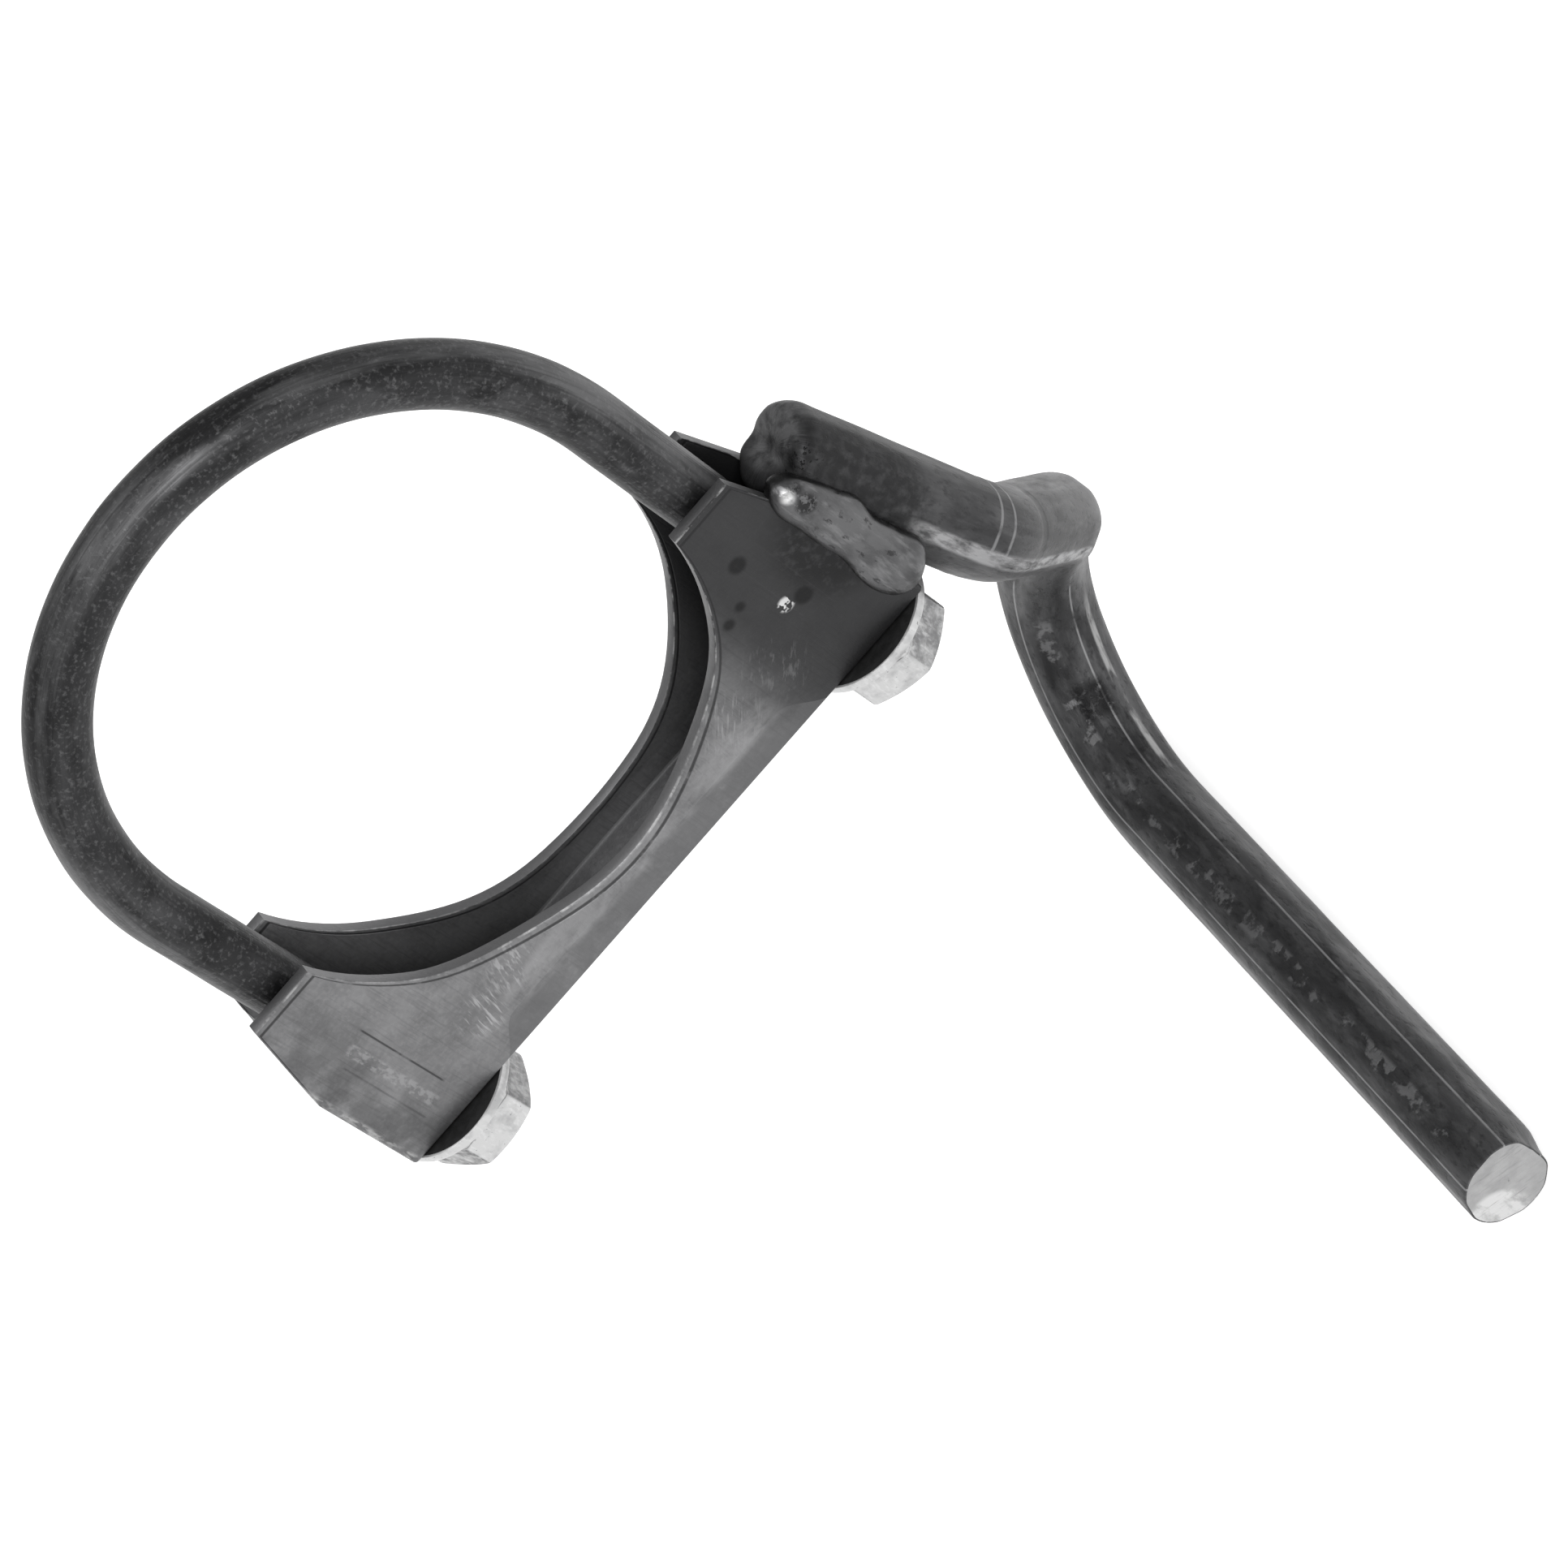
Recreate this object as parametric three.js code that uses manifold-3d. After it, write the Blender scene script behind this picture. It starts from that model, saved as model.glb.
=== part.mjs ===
// Exhaust U-bolt clamp with a welded hanger rod: a round-bar U-bolt, a pressed channel saddle,
// two hex flange nuts and a bent round rod welded to the outside of one saddle ear.
// Millimetres. Origin on the axis of the clamped pipe, in the saddle's mid-plane.
// +X runs along the saddle towards the hanger rod, +Y along the pipe, +Z towards the closed end of the U.
import * as THREE from 'three';
import { mergeVertices } from 'three/addons/utils/BufferGeometryUtils.js';
import Module from 'manifold-3d';

// U-bolt
const SHANK_RADIUS = 4.25;
const THREAD_RADIUS = 4.65;
const LEG_X = 39.4;
const LEG_END_Z = -51.0;
const THREAD_TOP_Z = -24.0;
const LOOP_START_Z = 10.3;
const LOOP_RISE = 42.3;
const BAR_SIDES = 22;
const BAR_STEPS = 60;
const THREAD_SIDES = 36;

// Saddle
const SEAT_RADIUS = 35.1;
const SADDLE_WIDTH = 13.5;
const SHEET = 1.8;
const EAR_TOP_Z = -6.4;
const EAR_TOP_X = 43.8;
const EAR_END_X = 48.2;
const SHOULDER_Z = -23.4;
const BASE_Z = -42.2;
const BASE_CORNER = 0.8;
const END_CORNER = 2.0;
const LEG_HOLE_RADIUS = 4.95;
const SEAT_STEPS = 48;
const EDGE_STEPS = 6;
const HOLE_SIDES = 40;

// Flange nuts
const NUT_GAP = 0.1;
const NUT_HEIGHT = 9.0;
const NUT_FLATS = 15.0;
const FLANGE_RADIUS = 10.1;
const FLANGE_RIM = 1.5;
const FLANGE_CONE = 3.6;
const NUT_BORE_RADIUS = 4.95;
const NUT_CROWN_INSET = 1.4;
const NUT_CROWN_HEIGHT = 1.15;
const NUT_CROWN_OVER = 0.4;
const HEX_START = 0.5;
const FLANGE_EDGE = 0.2;
const NUT_SIDES = 48;
const NUT_TURN_LEFT = 37;
const NUT_TURN_RIGHT = 9;

// Hanger rod
const ROD_RADIUS = 6.35;
const ROD_TIP = new THREE.Vector3(50.1, 0, -13.1);
const ROD_CORNER_1 = new THREE.Vector3(57.5, 0, -50.4);
const ROD_CORNER_2 = new THREE.Vector3(62.8, 20.4, -77.4);
const ROD_CORNER_3 = new THREE.Vector3(42.2, 59.3, -117.6);
const ROD_FAR = new THREE.Vector3(41.1, -82.0, -114.7);
const ROD_BENDS = [18.3, 13.9, 23.2];
const ROD_FACE_Y = -78.8;
const ROD_STEPS = 60;
const ROD_SIDES = 24;
const ROD_RELIEF = 0.3;
const TRIM_LOW = new THREE.Vector3(20, -120, -140);
const TRIM_HIGH = new THREE.Vector3(70, ROD_FACE_Y, -90);
const BITE_SIDES = 40;
const BITE_RADIUS = 6.5;
const BITE_X = 45.0;
const BITE_Z = -9.6;

// Weld beads
const BEAD_BLOBS = 7;
const BEAD_TOP = new THREE.Vector3(47.4, 6.6, -15.2);
const BEAD_FOOT = new THREE.Vector3(49.4, 6.4, -36.4);
const BEAD_HALF_WIDTH = 3.4;
const BEAD_CROWN = 2.6;
const BEAD_SWAY = 0.7;
const BEAD_SWELL = 0.1;
const BEAD_OVERLAP = 1.15;
const WELD_RELIEF = 0.3;

// How far cutting shapes reach past what they cut
const OVERSHOOT = 4;

const wasm = await Module();
wasm.setup();

/** Turns a closed geometry into a manifold solid. */
function solidOf(geometry) {
  const plain = geometry.clone();
  plain.deleteAttribute('normal');
  plain.deleteAttribute('uv');
  const merged = mergeVertices(plain, 1e-4);
  const position = merged.getAttribute('position');
  const mesh = new wasm.Mesh({
    numProp: 3,
    vertProperties: new Float32Array(position.array),
    triVerts: new Uint32Array(merged.getIndex().array),
  });
  return new wasm.Manifold(mesh);
}

/** Turns a manifold solid back into a three.js geometry. */
function geometryOf(solid) {
  const mesh = solid.getMesh();
  const geometry = new THREE.BufferGeometry();
  geometry.setAttribute('position', new THREE.BufferAttribute(new Float32Array(mesh.vertProperties), 3));
  geometry.setIndex(new THREE.BufferAttribute(new Uint32Array(mesh.triVerts), 1));
  geometry.computeVertexNormals();
  return geometry;
}

/** A closed round outline for a swept bar. */
function roundShape(radius, sides) {
  const points = [];
  for (let i = 0; i < sides; i += 1) {
    const angle = (2 * Math.PI * i) / sides;
    points.push(new THREE.Vector2(radius * Math.cos(angle), radius * Math.sin(angle)));
  }
  return new THREE.Shape(points);
}

/** Extrudes an outline drawn in X and Z along Y, centred on Y = 0. */
function plateAlongY(shape, width, curveSegments) {
  const geometry = new THREE.ExtrudeGeometry(shape, { depth: width, bevelEnabled: false, curveSegments });
  geometry.translate(0, 0, -width / 2);
  geometry.rotateX(Math.PI / 2);
  return geometry;
}

/** A block given by its low and high corners. */
function block(low, high) {
  const size = new THREE.Vector3().subVectors(high, low);
  const geometry = new THREE.BoxGeometry(size.x, size.y, size.z);
  geometry.translate((low.x + high.x) / 2, (low.y + high.y) / 2, (low.z + high.z) / 2);
  return geometry;
}

/** A round bar along Z between two heights. */
function barAlongZ(x, radius, lowZ, highZ, sides) {
  const geometry = new THREE.CylinderGeometry(radius, radius, highZ - lowZ, sides);
  geometry.rotateX(Math.PI / 2);
  geometry.translate(x, 0, (lowZ + highZ) / 2);
  return geometry;
}

/** Centre line of the U-bolt: one leg up, round the loop and down the other leg. */
class LoopCurve extends THREE.Curve {
  getPoint(t, target = new THREE.Vector3()) {
    const leg = LOOP_START_Z - LEG_END_Z;
    const arc = (Math.PI * (LEG_X + LOOP_RISE)) / 2;
    const run = t * (2 * leg + arc);
    if (run < leg) {
      return target.set(LEG_X, 0, LEG_END_Z + run);
    }
    if (run > leg + arc) {
      return target.set(-LEG_X, 0, LOOP_START_Z - (run - leg - arc));
    }
    const angle = (Math.PI * (run - leg)) / arc;
    return target.set(LEG_X * Math.cos(angle), 0, LOOP_START_Z + LOOP_RISE * Math.sin(angle));
  }
}

/** A round fillet between two straight runs of the hanger rod. */
class FilletCurve extends THREE.Curve {
  constructor(corner, from, to, radius) {
    super();
    this.inward = new THREE.Vector3().subVectors(corner, from).normalize();
    this.outward = new THREE.Vector3().subVectors(to, corner).normalize();
    this.angle = this.inward.angleTo(this.outward);
    this.radius = radius;
    this.cut = radius * Math.tan(this.angle / 2);
    this.start = corner.clone().addScaledVector(this.inward, -this.cut);
    this.end = corner.clone().addScaledVector(this.outward, this.cut);
    const along = this.inward.dot(this.outward);
    this.side = this.outward.clone().addScaledVector(this.inward, -along).normalize();
  }

  getPoint(t, target = new THREE.Vector3()) {
    const turn = this.angle * t;
    target.copy(this.start);
    target.addScaledVector(this.inward, this.radius * Math.sin(turn));
    target.addScaledVector(this.side, this.radius * (1 - Math.cos(turn)));
    return target;
  }
}

/** Centre line of the hanger rod: straight runs joined by fillets. */
function rodPath() {
  const corners = [ROD_TIP, ROD_CORNER_1, ROD_CORNER_2, ROD_CORNER_3, ROD_FAR];
  const path = new THREE.CurvePath();
  let reached = ROD_TIP.clone();
  for (let i = 1; i < corners.length - 1; i += 1) {
    const fillet = new FilletCurve(corners[i], corners[i - 1], corners[i + 1], ROD_BENDS[i - 1]);
    path.add(new THREE.LineCurve3(reached, fillet.start));
    path.add(fillet);
    reached = fillet.end;
  }
  path.add(new THREE.LineCurve3(reached, ROD_FAR.clone()));
  return path;
}

/** The hanger rod grown by a relief, trimmed square to the pipe axis at its far end. */
function rodSolid(relief) {
  const swept = new THREE.ExtrudeGeometry(roundShape(ROD_RADIUS + relief, ROD_SIDES), {
    steps: ROD_STEPS,
    bevelEnabled: false,
    extrudePath: rodPath(),
  });
  return solidOf(swept).subtract(solidOf(block(TRIM_LOW, TRIM_HIGH)));
}

/** The bite that the cropping blade left in the welded end of the rod. */
function shearBite() {
  const bite = new THREE.CylinderGeometry(BITE_RADIUS, BITE_RADIUS, 4 * ROD_RADIUS, BITE_SIDES);
  bite.translate(BITE_X, 0, BITE_Z);
  return solidOf(bite);
}

/** Side view of the saddle as a solid plate, grown by a relief. */
function saddleOutline(relief) {
  const radius = SEAT_RADIUS - relief;
  const hornAngle = Math.asin((EAR_TOP_Z + relief) / radius);
  const shape = new THREE.Shape();
  shape.moveTo(-EAR_END_X - relief, BASE_Z - relief);
  shape.lineTo(EAR_END_X + relief, BASE_Z - relief);
  shape.lineTo(EAR_END_X + relief, SHOULDER_Z);
  shape.lineTo(EAR_TOP_X + relief, EAR_TOP_Z + relief);
  shape.absarc(0, 0, radius, hornAngle, -Math.PI - hornAngle, true);
  shape.lineTo(-EAR_TOP_X - relief, EAR_TOP_Z + relief);
  shape.lineTo(-EAR_END_X - relief, SHOULDER_Z);
  shape.closePath();
  return shape;
}

/** The quarter-round strip that leaves a rounded edge of a given radius along one straight run. */
function edgeStrip(radius, length) {
  const shape = new THREE.Shape();
  shape.moveTo(1, 1);
  shape.lineTo(-radius, 1);
  shape.lineTo(-radius, 0);
  shape.absarc(-radius, -radius, radius, Math.PI / 2, 0, true);
  shape.lineTo(1, -radius);
  shape.closePath();
  const geometry = new THREE.ExtrudeGeometry(shape, { depth: length, bevelEnabled: false, curveSegments: EDGE_STEPS });
  geometry.translate(0, 0, -length / 2);
  return geometry;
}

/** The pressed channel saddle with its leg holes and the notch that seats the rod. */
function saddleSolid() {
  const half = SADDLE_WIDTH / 2;
  let saddle = solidOf(plateAlongY(saddleOutline(0), SADDLE_WIDTH, SEAT_STEPS));
  const inner = half - SHEET;
  const well = block(
    new THREE.Vector3(-EAR_END_X + SHEET, -inner, BASE_Z + SHEET),
    new THREE.Vector3(EAR_END_X - SHEET, inner, 0),
  );
  const mouth = block(
    new THREE.Vector3(-EAR_END_X - OVERSHOOT, -inner, SHOULDER_Z),
    new THREE.Vector3(EAR_END_X + OVERSHOOT, inner, 0),
  );
  saddle = saddle.subtract(solidOf(well)).subtract(solidOf(mouth));
  for (const side of [-1, 1]) {
    const base = edgeStrip(BASE_CORNER, 2 * (EAR_END_X + OVERSHOOT));
    base.rotateY(Math.PI / 2);
    base.rotateX(side > 0 ? Math.PI : -Math.PI / 2);
    base.translate(0, side * half, BASE_Z);
    saddle = saddle.subtract(solidOf(base));
    for (const end of [-1, 1]) {
      const corner = edgeStrip(END_CORNER, SHOULDER_Z - BASE_Z + OVERSHOOT);
      corner.rotateZ(end > 0 ? (side > 0 ? 0 : -Math.PI / 2) : side > 0 ? Math.PI / 2 : Math.PI);
      corner.translate(end * EAR_END_X, side * half, (SHOULDER_Z + BASE_Z - OVERSHOOT) / 2);
      saddle = saddle.subtract(solidOf(corner));
    }
    const low = BASE_Z - OVERSHOOT;
    const high = BASE_Z + SHEET + OVERSHOOT;
    saddle = saddle.subtract(solidOf(barAlongZ(side * LEG_X, LEG_HOLE_RADIUS, low, high, HOLE_SIDES)));
  }
  return saddle.subtract(rodSolid(ROD_RELIEF));
}

/** The U-bolt: swept bar with the thicker threaded length on each leg. */
function boltSolid() {
  const bar = new THREE.ExtrudeGeometry(roundShape(SHANK_RADIUS, BAR_SIDES), {
    steps: BAR_STEPS,
    bevelEnabled: false,
    extrudePath: new LoopCurve(),
  });
  let bolt = solidOf(bar);
  for (const side of [-1, 1]) {
    bolt = bolt.add(solidOf(barAlongZ(side * LEG_X, THREAD_RADIUS, LEG_END_Z, THREAD_TOP_Z, THREAD_SIDES)));
  }
  return bolt;
}

/** A hex flange nut with its bearing face at Z = 0, the hex hanging below it. */
function nutSolid() {
  const hexRadius = NUT_FLATS / Math.sqrt(3);
  const hex = new THREE.CylinderGeometry(hexRadius, hexRadius, NUT_HEIGHT - HEX_START, 6);
  hex.rotateX(Math.PI / 2);
  hex.translate(0, 0, -(NUT_HEIGHT + HEX_START) / 2);
  const round = [
    new THREE.Vector2(0, -NUT_HEIGHT),
    new THREE.Vector2(hexRadius - NUT_CROWN_INSET, -NUT_HEIGHT),
    new THREE.Vector2(hexRadius + NUT_CROWN_OVER, -NUT_HEIGHT + NUT_CROWN_HEIGHT),
    new THREE.Vector2(hexRadius + NUT_CROWN_OVER, 0),
    new THREE.Vector2(0, 0),
  ];
  const crown = new THREE.LatheGeometry(round, NUT_SIDES);
  crown.rotateX(Math.PI / 2);
  const flange = [
    new THREE.Vector2(0, -FLANGE_CONE),
    new THREE.Vector2(NUT_FLATS / 2, -FLANGE_CONE),
    new THREE.Vector2(FLANGE_RADIUS, -FLANGE_RIM),
    new THREE.Vector2(FLANGE_RADIUS, -FLANGE_EDGE),
    new THREE.Vector2(FLANGE_RADIUS - FLANGE_EDGE, 0),
    new THREE.Vector2(0, 0),
  ];
  const skirt = new THREE.LatheGeometry(flange, NUT_SIDES);
  skirt.rotateX(Math.PI / 2);
  const bore = barAlongZ(0, NUT_BORE_RADIUS, -NUT_HEIGHT - OVERSHOOT, OVERSHOOT, THREAD_SIDES);
  return solidOf(hex).intersect(solidOf(crown)).add(solidOf(skirt)).subtract(solidOf(bore));
}

/** A lumpy weld bead in the groove between an ear cheek and the rod; side -1 is the front. */
function beadSolid(side) {
  let bead = null;
  for (let i = 0; i < BEAD_BLOBS; i += 1) {
    const t = i / (BEAD_BLOBS - 1);
    const sway = side * BEAD_SWAY * Math.sin(2 * Math.PI * t);
    const swell = 1 + BEAD_SWELL * Math.sin(3 * Math.PI * t + side);
    const blob = new THREE.SphereGeometry(1, 14, 10);
    blob.scale(BEAD_HALF_WIDTH * swell, BEAD_CROWN * swell, BEAD_OVERLAP * BEAD_HALF_WIDTH);
    blob.translate(
      THREE.MathUtils.lerp(BEAD_TOP.x, BEAD_FOOT.x, t) + sway,
      side * THREE.MathUtils.lerp(BEAD_TOP.y, BEAD_FOOT.y, t),
      THREE.MathUtils.lerp(BEAD_TOP.z, BEAD_FOOT.z, t),
    );
    bead = bead === null ? solidOf(blob) : bead.add(solidOf(blob));
  }
  const plate = plateAlongY(saddleOutline(WELD_RELIEF), SADDLE_WIDTH + 2 * WELD_RELIEF, SEAT_STEPS);
  return bead.subtract(solidOf(plate)).subtract(rodSolid(WELD_RELIEF));
}

/** Only the largest separate lump of a solid, so that stray slivers are dropped. */
function largest(solid) {
  let best = null;
  for (const lump of solid.decompose()) {
    if (best === null || lump.volume() > best.volume()) {
      best = lump;
    }
  }
  return best;
}

const darkSteel = { color: 0x4c4c4e, roughness: 0.55, metalness: 0.8 };
const sheetSteel = { color: 0x6a6a6c, roughness: 0.5, metalness: 0.8 };
const rodSteel = { color: 0x58585a, roughness: 0.5, metalness: 0.8 };
const weldSteel = { color: 0x86868a, roughness: 0.4, metalness: 0.8 };
const zinc = { color: 0xd6d8da, roughness: 0.3, metalness: 0.9 };

/** Makes one named mesh with a material of its own. */
function piece(name, solid, finish) {
  const mesh = new THREE.Mesh(geometryOf(solid), new THREE.MeshStandardMaterial(finish));
  mesh.name = name;
  return mesh;
}

const clamp = new THREE.Group();
clamp.add(piece('u_bolt', boltSolid(), darkSteel));

const carried = new THREE.Group();
carried.add(piece('saddle', largest(saddleSolid()), sheetSteel));
carried.add(piece('hanger_rod', largest(rodSolid(0).subtract(shearBite())), rodSteel));
carried.add(piece('weld_front', largest(beadSolid(-1)), weldSteel));
carried.add(piece('weld_back', largest(beadSolid(1)), weldSteel));
clamp.add(carried);

const nuts = [
  ['flange_nut_left', -LEG_X, NUT_TURN_LEFT],
  ['flange_nut_right', LEG_X, NUT_TURN_RIGHT],
];
for (const [name, x, turn] of nuts) {
  const nut = piece(name, nutSolid(), zinc);
  nut.rotation.z = THREE.MathUtils.degToRad(turn);
  nut.position.set(x, 0, BASE_Z - NUT_GAP);
  clamp.add(nut);
}

export default clamp;
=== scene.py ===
"""Looks of a U-bolt pipe clamp with a hanger rod welded to its saddle.

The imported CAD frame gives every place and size. This script models the fine surface of each piece:
rolled threads, hex flange nuts, a pressed channel saddle, a drawn rod with a cropped end, and weld beads.
"""

import logging
import math
from collections.abc import Callable
from dataclasses import dataclass
from enum import Enum

import bmesh
import bpy
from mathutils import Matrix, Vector, noise


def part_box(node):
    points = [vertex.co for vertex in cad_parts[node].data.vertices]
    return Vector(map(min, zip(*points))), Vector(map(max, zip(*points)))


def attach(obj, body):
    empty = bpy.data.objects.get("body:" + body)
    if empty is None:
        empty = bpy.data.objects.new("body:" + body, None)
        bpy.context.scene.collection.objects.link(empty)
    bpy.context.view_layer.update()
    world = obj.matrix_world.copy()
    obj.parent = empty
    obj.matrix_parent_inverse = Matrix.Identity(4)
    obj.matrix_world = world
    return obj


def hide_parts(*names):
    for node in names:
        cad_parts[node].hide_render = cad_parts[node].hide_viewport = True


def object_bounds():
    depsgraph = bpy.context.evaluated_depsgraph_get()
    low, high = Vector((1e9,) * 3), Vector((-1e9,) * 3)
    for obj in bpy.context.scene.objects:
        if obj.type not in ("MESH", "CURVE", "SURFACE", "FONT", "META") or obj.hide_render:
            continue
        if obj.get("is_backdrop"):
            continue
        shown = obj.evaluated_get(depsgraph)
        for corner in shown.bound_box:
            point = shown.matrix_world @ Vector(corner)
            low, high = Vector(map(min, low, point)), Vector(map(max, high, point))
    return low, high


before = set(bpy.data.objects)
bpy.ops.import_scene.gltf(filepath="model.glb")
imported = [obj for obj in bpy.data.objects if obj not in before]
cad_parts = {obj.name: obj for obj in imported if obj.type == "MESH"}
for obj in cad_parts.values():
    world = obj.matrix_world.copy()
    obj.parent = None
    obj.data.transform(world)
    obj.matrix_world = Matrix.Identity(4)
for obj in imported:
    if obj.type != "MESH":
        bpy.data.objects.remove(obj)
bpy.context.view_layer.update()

LOG = logging.getLogger("clamp")
MM = 0.001
DEGREE = math.pi / 180
UNBENT = "unbent_place"  # mesh attribute: the point's place before the bar was bent or the sheet was folded
JOINED_WITHIN = 1e-6  # metres: closer points become one
FEWEST_BEND_POINTS = 6
NOISE_ROUGHNESS = 0.6  # share of each finer layer of a finish's noise
DIE_RINGS = (34.0, 36.2)  # millimetres along the rod: raised rings left by the bending die
DIE_GROOVE = 43.6  # millimetres along the rod: the shallow groove beside them
SAWN_PLANE = -0.999  # a face whose normal's Y is below this belongs to the sawn end
SAME_HEIGHT = 0.01  # millimetres: heights closer than this count as the same

RingPoint = Callable[[int, int], Vector]
Triple = tuple[float, float, float]


class Side(Enum):
    """The two hands of the clamp along the saddle."""

    LEFT = -1
    RIGHT = 1


class Slot(Enum):
    """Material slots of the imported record."""

    BOLT = "bolt_steel"
    SADDLE = "saddle_steel"
    ROD = "rod_steel"
    WELD = "weld_metal"
    ZINC = "zinc_plate"


class Ends(Enum):
    """What becomes of the first and the last ring of a loft."""

    CAPPED = "capped"
    JOINED = "joined"
    OPEN = "open"


class Measure(Enum):
    """What a zone of a finish is measured by."""

    X = "distance along the saddle"
    Y = "distance along the pipe"
    Z = "height"
    BAR = "distance along the unbent bar"
    TURN = "angle round the bar"
    DROP = "distance below the sheared edge"
    FOLD = "distance above the cheek's fold"
    BALL = "distance from a point"


# ---------------------------------------------------------------------------------------------
# Small maths


def smooth(low: float, high: float, value: float) -> float:
    """Soft step from 0 at low to 1 at high.

    Args:
        low: value at which the step leaves 0.
        high: value at which the step reaches 1.
        value: where to read the step.

    Returns:
        The height of the step there, from 0 to 1.
    """
    t = min(1.0, max(0.0, (value - low) / (high - low)))
    return t * t * (3.0 - 2.0 * t)


def bell(distance: float, width: float) -> float:
    """A round bump of height 1 that has all but gone at twice its width."""
    return math.exp(-((distance / width) ** 2))


def soft_min(a: float, b: float, sharpness: float = 60.0) -> float:
    """The smaller of two lengths, with a small round blend where they meet."""
    return b * ((a / b) ** -sharpness + 1.0) ** (-1.0 / sharpness)


def soft_max(a: float, b: float, sharpness: float = 60.0) -> float:
    """The larger of two lengths, with a small round blend where they meet."""
    return b * ((a / b) ** sharpness + 1.0) ** (1.0 / sharpness)


def grit(place: Vector, size: float) -> float:
    """Smooth noise from about -1 to 1.

    Args:
        place: the point to read, in metres.
        size: the size of one lump, in metres.

    Returns:
        The noise there.
    """
    return noise.noise(place / size)


def between(values: tuple[float, ...], t: float) -> float:
    """Reads evenly spaced values with a smooth curve through them.

    Args:
        values: the values at t = 0 to t = 1.
        t: the place, from 0 to 1.

    Returns:
        The value there.
    """
    x = min(max(t, 0.0), 1.0) * (len(values) - 1)
    i = min(int(x), len(values) - 2)
    f = x - i
    before = values[max(i - 1, 0)]
    after = values[min(i + 2, len(values) - 1)]
    a, b = values[i], values[i + 1]
    return 0.5 * (
        2 * a + (b - before) * f + (2 * before - 5 * a + 4 * b - after) * f * f
        + (3 * a - before - 3 * b + after) * f**3
    )


# ---------------------------------------------------------------------------------------------
# Mesh building


def grown(
    bm: bmesh.types.BMesh, edges: list[bmesh.types.BMEdge]
) -> tuple[list[bmesh.types.BMVert], list[bmesh.types.BMEdge]]:
    """Extrudes an edge loop.

    Args:
        bm: the mesh.
        edges: the loop to extrude.

    Returns:
        The new loop's vertices and its edges.
    """
    made = bmesh.ops.extrude_edge_only(bm, edges=edges)["geom"]
    verts = [item for item in made if isinstance(item, bmesh.types.BMVert)]
    inside = set(verts)
    loop = [item for item in made if isinstance(item, bmesh.types.BMEdge) and inside.issuperset(item.verts)]
    return verts, loop


def loft(
    place: RingPoint, rings: int, sides: int, ends: Ends, unbent: RingPoint | None = None
) -> bmesh.types.BMesh:
    """Builds a skin by extruding one ring again and again.

    Args:
        place: gives the point of ring i and side j.
        rings: how many rings there are.
        sides: how many points each ring has.
        ends: whether the end rings are capped, joined to each other or left open.
        unbent: gives the same point's place before bending, kept for the finish.

    Returns:
        The mesh.
    """
    bm = bmesh.new()
    order = bm.verts.layers.int.new("order")
    before = bm.verts.layers.float_vector.new(UNBENT)
    bmesh.ops.create_circle(bm, cap_ends=ends is Ends.CAPPED, radius=1.0, segments=sides)
    bm.verts.ensure_lookup_table()
    for j, vert in enumerate(bm.verts):
        vert[order] = j
    verts, edges = list(bm.verts), list(bm.edges)
    for i in range(rings):
        if i:
            verts, edges = grown(bm, edges)
        for vert in verts:
            vert.co = place(i, vert[order])
            if unbent:
                vert[before] = unbent(i, vert[order])
    if ends is Ends.CAPPED:
        bmesh.ops.edgeloop_fill(bm, edges=edges)
    bmesh.ops.remove_doubles(bm, verts=bm.verts, dist=JOINED_WITHIN)
    bmesh.ops.recalc_face_normals(bm, faces=bm.faces)
    return bm


def shade_smooth(mesh: bpy.types.Mesh, crease: float) -> None:
    """Shades a mesh smooth, except across edges sharper than an angle in degrees."""
    mesh.polygons.foreach_set("use_smooth", [True] * len(mesh.polygons))
    mesh.set_sharp_from_angle(angle=crease * DEGREE)


def as_piece(name: str, bm: bmesh.types.BMesh, crease: float = 35.0) -> bpy.types.Object:
    """Makes an object of a bmesh.

    Args:
        name: the piece's name.
        bm: its mesh, which is freed.
        crease: the angle in degrees past which an edge stays sharp.

    Returns:
        The new object, at the origin.
    """
    mesh = bpy.data.meshes.new(name)
    bm.to_mesh(mesh)
    bm.free()
    shade_smooth(mesh, crease)
    piece = bpy.data.objects.new(name, mesh)
    bpy.context.scene.collection.objects.link(piece)
    return piece


def cut_away(piece: bpy.types.Object, cutter: bpy.types.Object, crease: float) -> None:
    """Cuts one closed piece out of another and deletes the cutter.

    Args:
        piece: the piece that loses material.
        cutter: the closed shape to remove.
        crease: the angle in degrees past which an edge stays sharp.
    """
    modifier = piece.modifiers.new("cut", "BOOLEAN")
    modifier.operation = "DIFFERENCE"
    modifier.solver = "EXACT"
    modifier.object = cutter
    graph = bpy.context.evaluated_depsgraph_get()
    mesh = bpy.data.meshes.new_from_object(piece.evaluated_get(graph))
    piece.modifiers.clear()
    piece.data = mesh
    shade_smooth(mesh, crease)
    bpy.data.objects.remove(cutter)


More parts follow.
